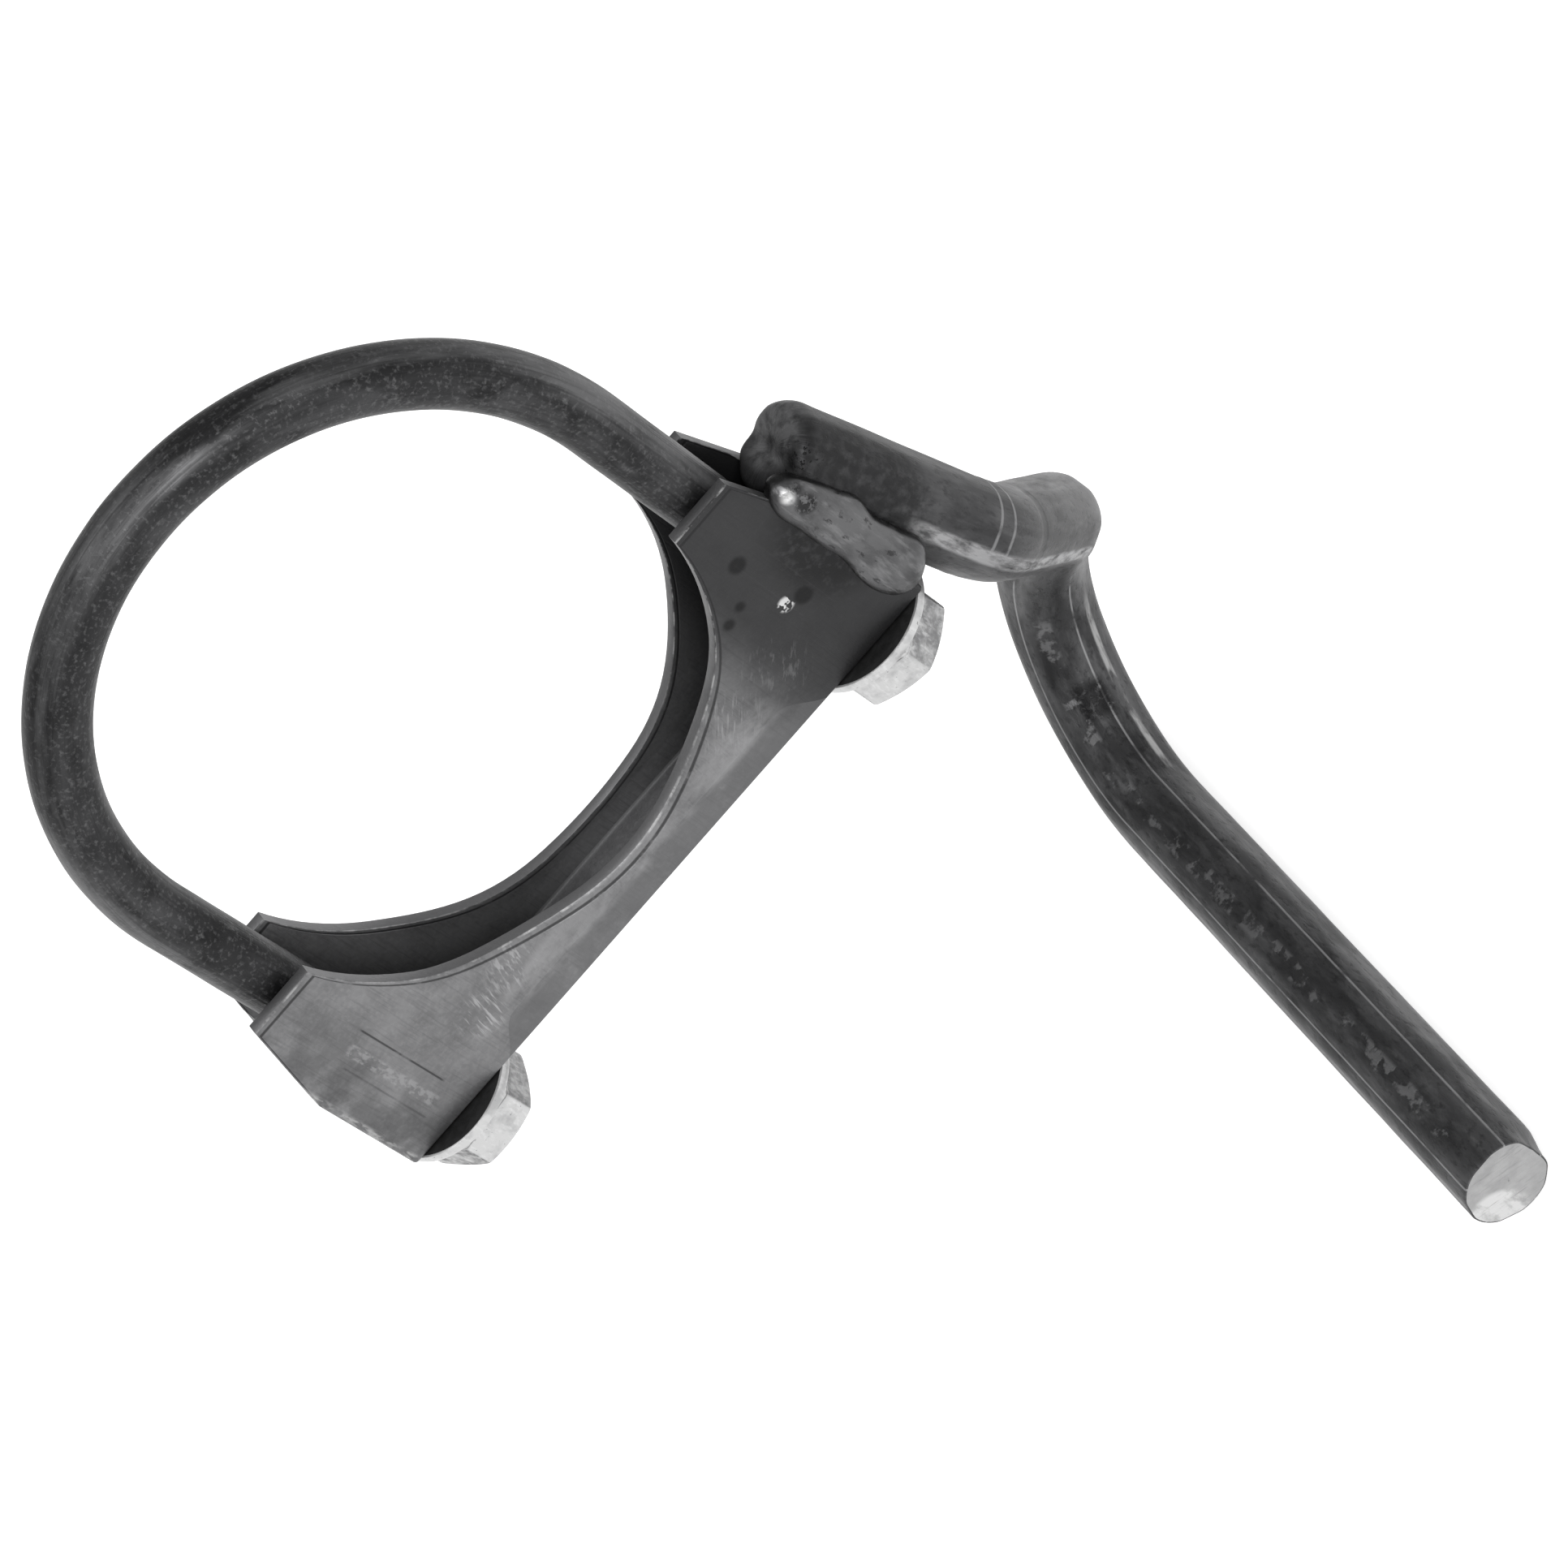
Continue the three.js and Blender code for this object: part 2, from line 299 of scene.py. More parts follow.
class CentreLine:
    """A bar's centre line, with its length and a frame that doesn't twist at each point."""

    def __init__(self, points: list[Vector], across: Vector) -> None:
        """Measures the line.

        Args:
            points: the points that the line follows.
            across: a direction across the line's start, from which angles round the bar count.
        """
        self.points = points
        self.along = [0.0]
        for before, here in zip(points, points[1:]):
            self.along.append(self.along[-1] + (here - before).length)
        last = len(points) - 1
        self.tangents = [
            (points[min(i + 1, last)] - points[max(i - 1, 0)]).normalized() for i in range(last + 1)
        ]
        self.right: list[Vector] = []
        side = across
        for tangent in self.tangents:
            side = (side - tangent * side.dot(tangent)).normalized()
            self.right.append(side)

    def length(self) -> float:
        """The whole length, in metres."""
        return self.along[-1]

    def out(self, i: int, angle: float) -> Vector:
        """The direction out of the bar at point i, at an angle round it in radians."""
        up = self.tangents[i].cross(self.right[i])
        return self.right[i] * math.cos(angle) + up * math.sin(angle)

    def unbent(self, i: int, angle: float, radius: float) -> Vector:
        """A point of the bar as if it were straight: length along it, then its place in the section."""
        return Vector((self.along[i], radius * math.cos(angle), radius * math.sin(angle)))


def filleted(corners: list[Vector], radii: tuple[float, ...], step: float) -> list[Vector]:
    """Points along straight runs that are joined by round bends.

    Args:
        corners: the ends and the corners of the runs, in metres.
        radii: the bend radius at each inner corner, in metres.
        step: about how far apart the points lie, in metres.

    Returns:
        The points from the first corner to the last.
    """
    points: list[Vector] = []

    def run_to(start: Vector, end: Vector) -> None:
        """Adds the points of one straight run, without its end."""
        count = max(1, round((end - start).length / step))
        points.extend(start.lerp(end, k / count) for k in range(count))

    reached = corners[0]
    for before, corner, after, radius in zip(corners, corners[1:], corners[2:], radii):
        inward = (corner - before).normalized()
        outward = (after - corner).normalized()
        turn = inward.angle(outward)
        cut = radius * math.tan(turn / 2)
        side = (outward - inward * outward.dot(inward)).normalized()
        start = corner - inward * cut
        run_to(reached, start)
        count = max(FEWEST_BEND_POINTS, round(radius * turn / step))
        for k in range(count):
            angle = turn * k / count
            ahead, aside = radius * math.sin(angle), radius * (1 - math.cos(angle))
            points.append(start + inward * ahead + side * aside)
        reached = corner + outward * cut
    run_to(reached, corners[-1])
    points.append(corners[-1])
    return points


# ---------------------------------------------------------------------------------------------
# Finishes


def colour(code: str) -> tuple[float, float, float, float]:
    """A linear colour from an sRGB hex value such as "8a8a8c"."""
    parts = [int(code[i : i + 2], 16) / 255 for i in (0, 2, 4)]
    linear = [c / 12.92 if c <= 0.04045 else ((c + 0.055) / 1.055) ** 2.4 for c in parts]
    return (*linear, 1.0)


def add(tree: bpy.types.NodeTree, kind: str, links: dict | None = None, out: int | str = 0,
        **settings: object) -> bpy.types.NodeSocket | None:
    """Adds one shader node.

    Args:
        tree: the material's node tree.
        kind: the node's type name without "ShaderNode".
        links: input name or number to a socket to link from, or to a plain value.
        out: the output to hand back, by name or number.
        settings: the node's own settings.

    Returns:
        The node's output socket, or None where it has no output.
    """
    node = tree.nodes.new("ShaderNode" + kind)
    for key, value in settings.items():
        setattr(node, key, value)
    for key, value in (links or {}).items():
        if isinstance(value, bpy.types.NodeSocket):
            tree.links.new(value, node.inputs[key])
        else:
            node.inputs[key].default_value = value
    return node.outputs[out] if node.outputs else None


@dataclass(frozen=True)
class Zone:
    """A soft-edged part of a surface.

    Attributes:
        by: what the zone is measured by.
        at: the middle of the zone, in millimetres or degrees; a point where it is a ball.
        full: the distance from the middle up to which the zone is whole.
        none: the distance at which it has gone.
    """

    by: Measure
    at: float | Triple
    full: float
    none: float

    def mask(self, tree: bpy.types.NodeTree) -> bpy.types.NodeSocket:
        """Adds the zone's nodes.

        Args:
            tree: the material's node tree.

        Returns:
            A socket that is 1 in the zone and 0 outside it.
        """
        unit = DEGREE if self.by is Measure.TURN else MM
        here = add(tree, "TexCoord", out="Object")
        before = add(tree, "Attribute", out="Vector", attribute_name=UNBENT)
        if self.by is Measure.BALL:
            middle = Vector(self.at) * unit
            away = add(tree, "VectorMath", {0: here, 1: middle}, out="Value", operation="DISTANCE")
        else:
            along = {Measure.X: (here, "X"), Measure.Y: (here, "Y"), Measure.Z: (here, "Z"),
                     Measure.BAR: (before, "X"), Measure.DROP: (before, "Y"), Measure.TURN: (before, "Y"),
                     Measure.FOLD: (before, "Z")}
            source, axis = along[self.by]
            value = add(tree, "SeparateXYZ", {0: source}, out=axis)
            if self.by is Measure.TURN:
                height = add(tree, "SeparateXYZ", {0: source}, out="Z")
                value = add(tree, "Math", {0: height, 1: value}, operation="ARCTAN2")
            away = add(tree, "Math", {0: value, 1: self.at * unit}, operation="SUBTRACT")
            if self.by is Measure.TURN:
                away = add(tree, "Math", {0: away, 1: math.pi, 2: -math.pi}, operation="WRAP")
            away = add(tree, "Math", {0: away}, operation="ABSOLUTE")
        edge = {0: away, "From Min": self.full * unit, "From Max": self.none * unit,
                "To Min": 1.0, "To Max": 0.0}
        return add(tree, "MapRange", edge, interpolation_type="SMOOTHSTEP")


@dataclass(frozen=True)
class Layer:
    """One pattern of a finish: where it shows, its tint, and what it does to gloss and height.

    Attributes:
        tint: the colour it brings, as sRGB hex.
        strength: how much of the tint shows where the layer is whole.
        size: the size of one lump of its noise in millimetres; 0 means no noise.
        span: how much longer the lumps are along X, Y and Z.
        turned: how far the noise is turned about Y, in degrees.
        cover: the noise values that become 0 and 1.
        detail: how many finer layers the noise has.
        unbent: True where the noise follows the bar's length instead of the object's axes.
        depth: how high the layer stands out, in millimetres.
        gloss: how much it adds to the roughness.
        zones: the zones it is confined to.
    """

    tint: str
    strength: float = 1.0
    size: float = 0.0
    span: Triple = (1.0, 1.0, 1.0)
    turned: float = 0.0
    cover: tuple[float, float] = (0.4, 0.65)
    detail: float = 4.0
    unbent: bool = False
    depth: float = 0.0
    gloss: float = 0.0
    zones: tuple[Zone, ...] = ()

    def amount(self, tree: bpy.types.NodeTree) -> bpy.types.NodeSocket:
        """Adds the layer's nodes.

        Args:
            tree: the material's node tree.

        Returns:
            A socket that is 1 where the layer is whole and 0 where it is absent.
        """
        masks = [zone.mask(tree) for zone in self.zones]
        if self.size:
            if self.unbent:
                source = add(tree, "Attribute", out="Vector", attribute_name=UNBENT)
            else:
                source = add(tree, "TexCoord", out="Object")
            lumps = {0: source, "Rotation": (0.0, self.turned * DEGREE, 0.0),
                     "Scale": [self.size * MM * part for part in self.span]}
            place = add(tree, "Mapping", lumps, vector_type="TEXTURE")
            cloud = add(tree, "TexNoise", {"Vector": place, "Scale": 1.0, "Detail": self.detail,
                                           "Roughness": NOISE_ROUGHNESS})
            low, high = self.cover
            masks.append(add(tree, "MapRange", {0: cloud, "From Min": low, "From Max": high}))
        whole = masks[0]
        for mask in masks[1:]:
            whole = add(tree, "Math", {0: whole, 1: mask}, operation="MULTIPLY")
        return whole


@dataclass(frozen=True)
class Finish:
    """A surface finish: a base colour and gloss with layers over it.

    Attributes:
        name: the material's name.
        base: its colour under the layers, as sRGB hex.
        metallic: how metallic it is.
        roughness: its roughness under the layers.
        layers: the patterns over it, from the lowest up.
        glow: how much light it gives off.
    """

    name: str
    base: str
    metallic: float
    roughness: float
    layers: tuple[Layer, ...] = ()
    glow: float = 0.0

    def build(self) -> bpy.types.Material:
        """Makes the material."""
        material = bpy.data.materials.new(self.name)
        material.use_nodes = True
        tree = material.node_tree
        tree.nodes.clear()
        links = {"Base Color": colour(self.base), "Metallic": self.metallic, "Roughness": self.roughness,
                 "Emission Color": colour("ffffff"), "Emission Strength": self.glow}
        for layer in self.layers:
            amount = layer.amount(tree)
            fill = add(tree, "Math", {0: amount, 1: layer.strength}, operation="MULTIPLY", use_clamp=True)
            # inputs 6 and 7 and output 2 are the Mix node's colour sockets
            links["Base Color"] = add(tree, "Mix", {0: fill, 6: links["Base Color"], 7: colour(layer.tint)},
                                      out=2, data_type="RGBA")
            if layer.gloss:
                links["Roughness"] = add(tree, "Math", {0: amount, 1: layer.gloss, 2: links["Roughness"]},
                                         operation="MULTIPLY_ADD", use_clamp=True)
            if layer.depth:
                raised = {"Height": amount, "Distance": abs(layer.depth) * MM, "Strength": 1.0}
                if "Normal" in links:
                    raised["Normal"] = links["Normal"]
                links["Normal"] = add(tree, "Bump", raised, invert=layer.depth < 0)
        shader = add(tree, "BsdfPrincipled", links)
        add(tree, "OutputMaterial", {"Surface": shader})
        return material


# Carbon steel bar, cold bent and lightly oiled: near black, with fine light mottling, and pale stripes along
# one side that are painted reflection.
OILED_BAR_STEEL = Finish("oiled_carbon_steel_bar", "232324", 0.75, 0.46, (
    Layer("3c3c3d", 0.9, 6.0, (2.5, 1.0, 1.0), cover=(0.42, 0.62), detail=6.0, unbent=True),
    Layer("121213", 0.8, 3.2, (2.0, 1.0, 1.0), cover=(0.52, 0.66), detail=6.0, unbent=True, gloss=0.1),
    # painted reflection: a pale stripe along one side of the whole bar, broken up by noise
    Layer("6a6a6b", 0.6, 4.0, (5.0, 1.0, 1.0), cover=(0.42, 0.6), detail=6.0, unbent=True,
          zones=(Zone(Measure.TURN, 55.0, 16.0, 44.0),)),
    # painted reflection: a second pale stripe along one side over part of the bar's length, broken up by
    # noise
    Layer("747475", 0.65, 4.0, (5.0, 1.0, 1.0), cover=(0.38, 0.56), detail=6.0, unbent=True,
          zones=(Zone(Measure.TURN, 118.0, 14.0, 40.0), Zone(Measure.BAR, 200.0, 50.0, 85.0))),
    Layer("666667", 0.5, 0.6, cover=(0.52, 0.72), detail=3.0, depth=0.02),
    Layer("808081", 0.4, 1.6, (2.0, 1.0, 1.0), cover=(0.62, 0.76), detail=6.0, unbent=True, depth=0.02),
    Layer("1a1a1b", 0.5, 0.5, (50.0, 1.0, 1.0), cover=(0.5, 0.7), detail=2.0, unbent=True, depth=-0.02),
))

# Mill-finish rod: dark scale with flat drawn bands, pale where the bending die rubbed their ridges.
RIDGE_AT = (38.0, 110.0, 182.0, 254.0, 326.0)  # degrees round the rod: the ridges between its flats
FREE_RUN = Zone(Measure.BAR, 160.0, 72.0, 80.0)  # the straight run to the free end
RUBBED_SIDE = Zone(Measure.TURN, 45.0, 42.0, 58.0)  # the side that lay in the die
MILL_ROD_STEEL = Finish("mill_finish_steel_rod", "4c4c4d", 0.75, 0.46, (
    Layer("313132", 0.9, 5.0, (3.0, 1.0, 1.0), cover=(0.4, 0.62), detail=6.0, unbent=True, gloss=0.08),
    Layer("666667", 0.5, 1.6, (4.0, 1.0, 1.0), cover=(0.48, 0.66), detail=8.0, unbent=True, depth=0.02),
    Layer("1d1d1e", 0.6, 0.9, (2.0, 1.0, 1.0), cover=(0.52, 0.68), detail=6.0, unbent=True, depth=-0.03),
    Layer("242425", 0.7, zones=(Zone(Measure.BAR, 0.0, 14.0, 34.0),)),
    Layer("202021", 0.6, 3.0, (3.0, 1.0, 1.0), cover=(0.36, 0.56), detail=8.0, unbent=True, depth=-0.04,
          zones=(Zone(Measure.TURN, 146.0, 12.0, 30.0), FREE_RUN)),
    *(Layer("9a9a9b", 0.7, 9.0, cover=(0.34, 0.46), unbent=True, depth=0.04,
            zones=(Zone(Measure.TURN, ridge, 0.4, 2.0), FREE_RUN))
      for ridge in RIDGE_AT),
    Layer("343435", 0.5, 5.0, cover=(0.3, 0.5), detail=6.0, unbent=True,
          zones=(Zone(Measure.TURN, 50.0, 34.0, 52.0), Zone(Measure.BAR, 46.0, 16.0, 24.0))),
    Layer("a2a2a3", 0.8, 1.3, (3.0, 1.0, 1.0), cover=(0.36, 0.56), detail=8.0, unbent=True, depth=0.05,
          zones=(Zone(Measure.TURN, 98.0, 7.0, 13.0), Zone(Measure.BAR, 47.0, 22.0, 28.0))),
    Layer("6c6c6d", 0.6, 1.4, (5.0, 1.0, 1.0), cover=(0.38, 0.6), detail=6.0, unbent=True,
          zones=(Zone(Measure.TURN, -12.0, 14.0, 30.0), Zone(Measure.BAR, 52.0, 12.0, 20.0))),
    *(Layer("8c8c8d", 0.6, 2.0, cover=(0.3, 0.5), unbent=True, depth=0.04,
            zones=(Zone(Measure.BAR, ring, 0.08, 0.3), RUBBED_SIDE))
      for ring in DIE_RINGS),
    Layer("2b2b2c", 0.6, 3.0, cover=(0.3, 0.5), unbent=True, depth=-0.04,
          zones=(Zone(Measure.BAR, DIE_GROOVE, 0.6, 1.4), RUBBED_SIDE)),
    Layer("0f0f10", 0.9, 1.2, cover=(0.3, 0.5), unbent=True, depth=-0.12,
          zones=(Zone(Measure.BAR, 112.5, 2.2, 4.6), Zone(Measure.TURN, 124.0, 16.0, 27.0))),
    Layer("a4a4a4", 0.8, 2.4, (4.0, 1.0, 1.0), cover=(0.4, 0.54), unbent=True,
          zones=(Zone(Measure.TURN, 84.0, 4.0, 8.0), Zone(Measure.BAR, 112.0, 14.0, 20.0))),
    Layer("747475", 0.6, 3.4, cover=(0.54, 0.6), detail=4.0, unbent=True, depth=0.05,
          zones=(Zone(Measure.TURN, 151.0, 8.0, 14.0), Zone(Measure.BAR, 155.0, 58.0, 62.0))),
    Layer("161617", 0.7, 1.5, cover=(0.35, 0.55),
          zones=(Zone(Measure.BALL, (50.5, -6.2, -24.0), 9.0, 14.5),)),
    Layer("0a0a0a", 0.9, 0.7, cover=(0.58, 0.64), depth=-0.1,
          zones=(Zone(Measure.BALL, (51.0, -5.5, -14.0), 2.0, 4.0),)),
    Layer("6a6a6b", 0.8, 2.0, cover=(0.34, 0.56), detail=6.0,
          zones=(Zone(Measure.BALL, (51.5, 1.0, -12.4), 3.5, 6.0),)),
))

# The rod's sawn end: clean, bright and matt, with faint saw lines.
SAWN_ROD_STEEL = Finish("sawn_steel_face", "9a9a9a", 0.45, 0.5, (
    Layer("7c7c7d", 0.5, 2.5, cover=(0.4, 0.66), detail=6.0),
    Layer("c8c8c8", 0.8, 3.0, (1.0, 1.0, 2.0), cover=(0.38, 0.5), detail=6.0,
          zones=(Zone(Measure.BALL, (35.9, -78.8, -118.4), 4.6, 5.6),)),
    Layer("6f6f70", 0.5, 0.4, (12.0, 1.0, 1.0), turned=20.0, cover=(0.55, 0.7), depth=0.02),
))

# Hot-rolled pickled sheet, pressed: dull mid grey and smoked dark towards the weld, with painted light on the
# band above the cheek's fold, painted shade on the strip below it and a painted highlight along the inner
# bend.
CHEEK_Y = -6.75  # millimetres: the front cheek's outer face
PRESSED_SHEET_STEEL = Finish("pressed_hot_rolled_sheet", "717172", 0.7, 0.44, (
    Layer("565657", 0.6, 7.0, cover=(0.4, 0.62), detail=6.0, gloss=0.05),
    Layer("8e8e8f", 0.22, 0.6, cover=(0.45, 0.7), depth=0.012),
    Layer("4a4a4b", 0.3, 0.35, (1.0, 1.0, 20.0), cover=(0.52, 0.7), detail=2.0, depth=-0.01),
    Layer("262627", 0.93, zones=(Zone(Measure.X, 50.0, 17.0, 34.0),)),
    Layer("383839", 0.5, 5.0, cover=(0.4, 0.6), zones=(Zone(Measure.X, -50.0, 4.0, 16.0),)),
    # painted shade: the upright strip below the cheek's fold, darker than the leaning band above it
    Layer("575758", 0.7, 5.0, cover=(0.2, 0.5), zones=(Zone(Measure.FOLD, -8.0, 7.95, 8.05),)),
    # painted light: the leaning band just above the fold in the cheek's middle, lighter as if it faced the
    # light
    Layer("8e8e8f", 0.5, 3.0, (2.0, 1.0, 1.0), cover=(0.36, 0.56), detail=6.0,
          zones=(Zone(Measure.FOLD, 1.3, 1.25, 2.6), Zone(Measure.X, 0.0, 22.0, 27.0))),
    # painted highlight: a thin light line along the inner bend where the walls meet the web
    Layer("8a8a8b", 0.8, 9.0, cover=(0.2, 0.4),
          zones=(Zone(Measure.Z, -40.15, 0.12, 0.24), Zone(Measure.Y, 0.0, 5.2, 5.4))),
    Layer("9a9a9b", 0.8, 0.4, (1.0, 1.0, 9.0), turned=12.0, cover=(0.52, 0.64), detail=2.0, depth=0.015,
          zones=(Zone(Measure.BALL, (-27.0, CHEEK_Y, -33.6), 2.0, 4.5),)),
    Layer("9a9a9b", 0.7, 0.45, (1.0, 1.0, 7.0), turned=20.0, cover=(0.52, 0.64), detail=2.0, depth=0.015,
          zones=(Zone(Measure.BALL, (-20.5, CHEEK_Y, -32.4), 1.5, 4.5),)),
    Layer("6e6e6f", 0.4, 0.5, (1.0, 1.0, 4.0), turned=44.0, cover=(0.54, 0.66), detail=4.0, depth=0.01,
          zones=(Zone(Measure.BALL, (28.5, CHEEK_Y, -32.5), 2.5, 6.5),)),
    Layer("858586", 0.7, 0.4, (1.0, 1.0, 8.0), turned=44.0, cover=(0.52, 0.66), detail=2.0, depth=0.015,
          zones=(Zone(Measure.BALL, (20.0, CHEEK_Y, -33.0), 2.0, 6.0),)),
    Layer("6c6c6d", 0.7, 4.0, cover=(0.2, 0.45), zones=(Zone(Measure.DROP, -0.1, 0.12, 0.2),)),
    Layer("b0b0b0", 0.5, 2.4, cover=(0.46, 0.6), zones=(Zone(Measure.DROP, 0.2, 0.08, 0.18),)),
    Layer("1f1f20", 0.8, 5.0, cover=(0.28, 0.42), depth=-0.05, zones=(Zone(Measure.DROP, 1.1, 0.1, 0.32),)),
    *(Layer("303031", strength, 6.0, cover=(0.3, 0.44), depth=-0.04,
            zones=(Zone(Measure.X, line, 0.06, 0.2), Zone(Measure.Z, middle, 7.6, 8.4)))
      for line, middle, strength in (
          (-37.05, -28.0, 0.9), (-42.3, -30.0, 0.4), (36.5, -22.0, 0.6), (40.2, -24.0, 0.6))),
    Layer("8c8c8d", 0.6, 0.7, (1.0, 1.0, 1.6), cover=(0.44, 0.56), detail=6.0, depth=0.02,
          zones=(Zone(Measure.X, -39.9, 0.7, 1.0), Zone(Measure.Z, -29.0, 8.0, 9.0))),
    *(Layer("0c0c0d", 0.85, 1.4, cover=(0.24, 0.36),
            zones=(Zone(Measure.BALL, (x, CHEEK_Y, z), size, size + 0.8),))
      for x, z, size in ((36.8, -16.2, 0.8), (38.7, -27.6, 0.9), (32.9, -21.0, 0.3), (30.3, -21.6, 0.4))),
    Layer("c8c8c8", 0.9, 1.6, cover=(0.44, 0.47), detail=2.0,
          zones=(Zone(Measure.BALL, (36.5, CHEEK_Y, -26.4), 0.8, 1.4),)),
    Layer("a4a4a4", 0.7, 0.7, (1.0, 1.0, 3.0), cover=(0.44, 0.6), detail=6.0,
          zones=(Zone(Measure.X, -49.0, 1.5, 2.2),)),
    Layer("101011", 0.8, 1.2, cover=(0.3, 0.5),
          zones=(Zone(Measure.BALL, (48.0, CHEEK_Y, -25.0), 6.0, 12.0),)),
))

# As-laid weld: satin silver grey that flowed along the joint, sooty in its pits, with a painted highlight
# near its top.
WELD_STEEL = Finish("as_laid_weld_metal", "585859", 0.75, 0.36, (
    Layer("3c3c3d", 0.7, 2.6, (1.0, 1.0, 2.5), cover=(0.42, 0.62), detail=5.0, depth=0.03),
    Layer("7b7b7c", 0.5, 1.1, (1.0, 1.0, 5.0), cover=(0.54, 0.7), depth=0.03),
    Layer("1c1c1d", 0.7, 1.4, (1.0, 1.0, 2.0), cover=(0.6, 0.66), detail=5.0, depth=-0.06,
          zones=(Zone(Measure.Z, -27.0, 6.0, 9.0),)),
    # painted highlight: a near-white glint near the top of the bead
    Layer("e6e6e6", 0.9, 1.6, cover=(0.3, 0.45), gloss=-0.1,
          zones=(Zone(Measure.BALL, (47.2, -9.2, -13.2), 0.5, 1.7),)),
    *(Layer("101011", 0.85, 0.8, cover=(0.46, 0.52), depth=-0.1, zones=(Zone(Measure.BALL, pit, 1.0, 2.0),))
      for pit in ((49.4, -9.2, -13.6), (48.1, -9.2, -16.2))),
    Layer("0e0e0e", 0.85, 3.0, cover=(0.25, 0.45), zones=(Zone(Measure.Y, 0.0, 6.95, 7.6),)),
))

# Clear-passivated zinc plate over a cold-formed nut: light, satin, with dull clouds and small stains, painted
# shade on three hex facets, and a painted dark reflection and painted shade in two rings on the flange's
# cone.
CLEAR_ZINC_PLATE = Finish("clear_zinc_plate", "b4b4b4", 0.72, 0.28, (
    Layer("8c8c8d", 0.6, 2.8, cover=(0.46, 0.66), gloss=0.12),
    # painted shade: three facets of the hex tinted darker, each by its own amount, as if lit differently
    *(Layer(tint, strength, 1.4, cover=(0.2, 0.6), detail=6.0,
            zones=(Zone(Measure.TURN, facet, 29.0, 30.5), Zone(Measure.BAR, -6.4, 2.7, 2.9)))
      for tint, strength, facet in (("3a3a3b", 0.9, 180.0), ("3a3a3b", 0.9, 120.0), ("5c5c5d", 0.8, 300.0))),
    # painted reflection: a dark band round the flange's cone
    Layer("2c2c2d", 0.8, 3.0, cover=(0.25, 0.5), zones=(Zone(Measure.BAR, -2.25, 0.15, 0.5),)),
    # painted shade: a thin dark line round the flange's cone where it meets the hex
    Layer("3c3c3d", 0.7, 3.0, cover=(0.25, 0.5), zones=(Zone(Measure.BAR, -3.4, 0.04, 0.16),)),
    Layer("5e5e5f", 0.8, 0.5, cover=(0.68, 0.74), detail=2.0),
    Layer("d8d8d8", 0.25, 0.5, (1.0, 1.0, 3.0), cover=(0.52, 0.66), depth=0.004),
))

# Painted shade on a nut's bearing face and in its bore: nearly black, satin.
OILED_DIRT = Finish("painted_shade_black", "070707", 0.2, 0.6, (
    Layer("1c1c1d", 0.6, 1.2, cover=(0.4, 0.65), depth=0.03),
))

# White paper on a light table: matt and even, and it gives off a little light, so that shadows stay faint.
TABLE_PAPER = Finish("matt_white_paper", "f2f2f2", 0.0, 0.9, glow=0.5)


# ---------------------------------------------------------------------------------------------
# Pieces


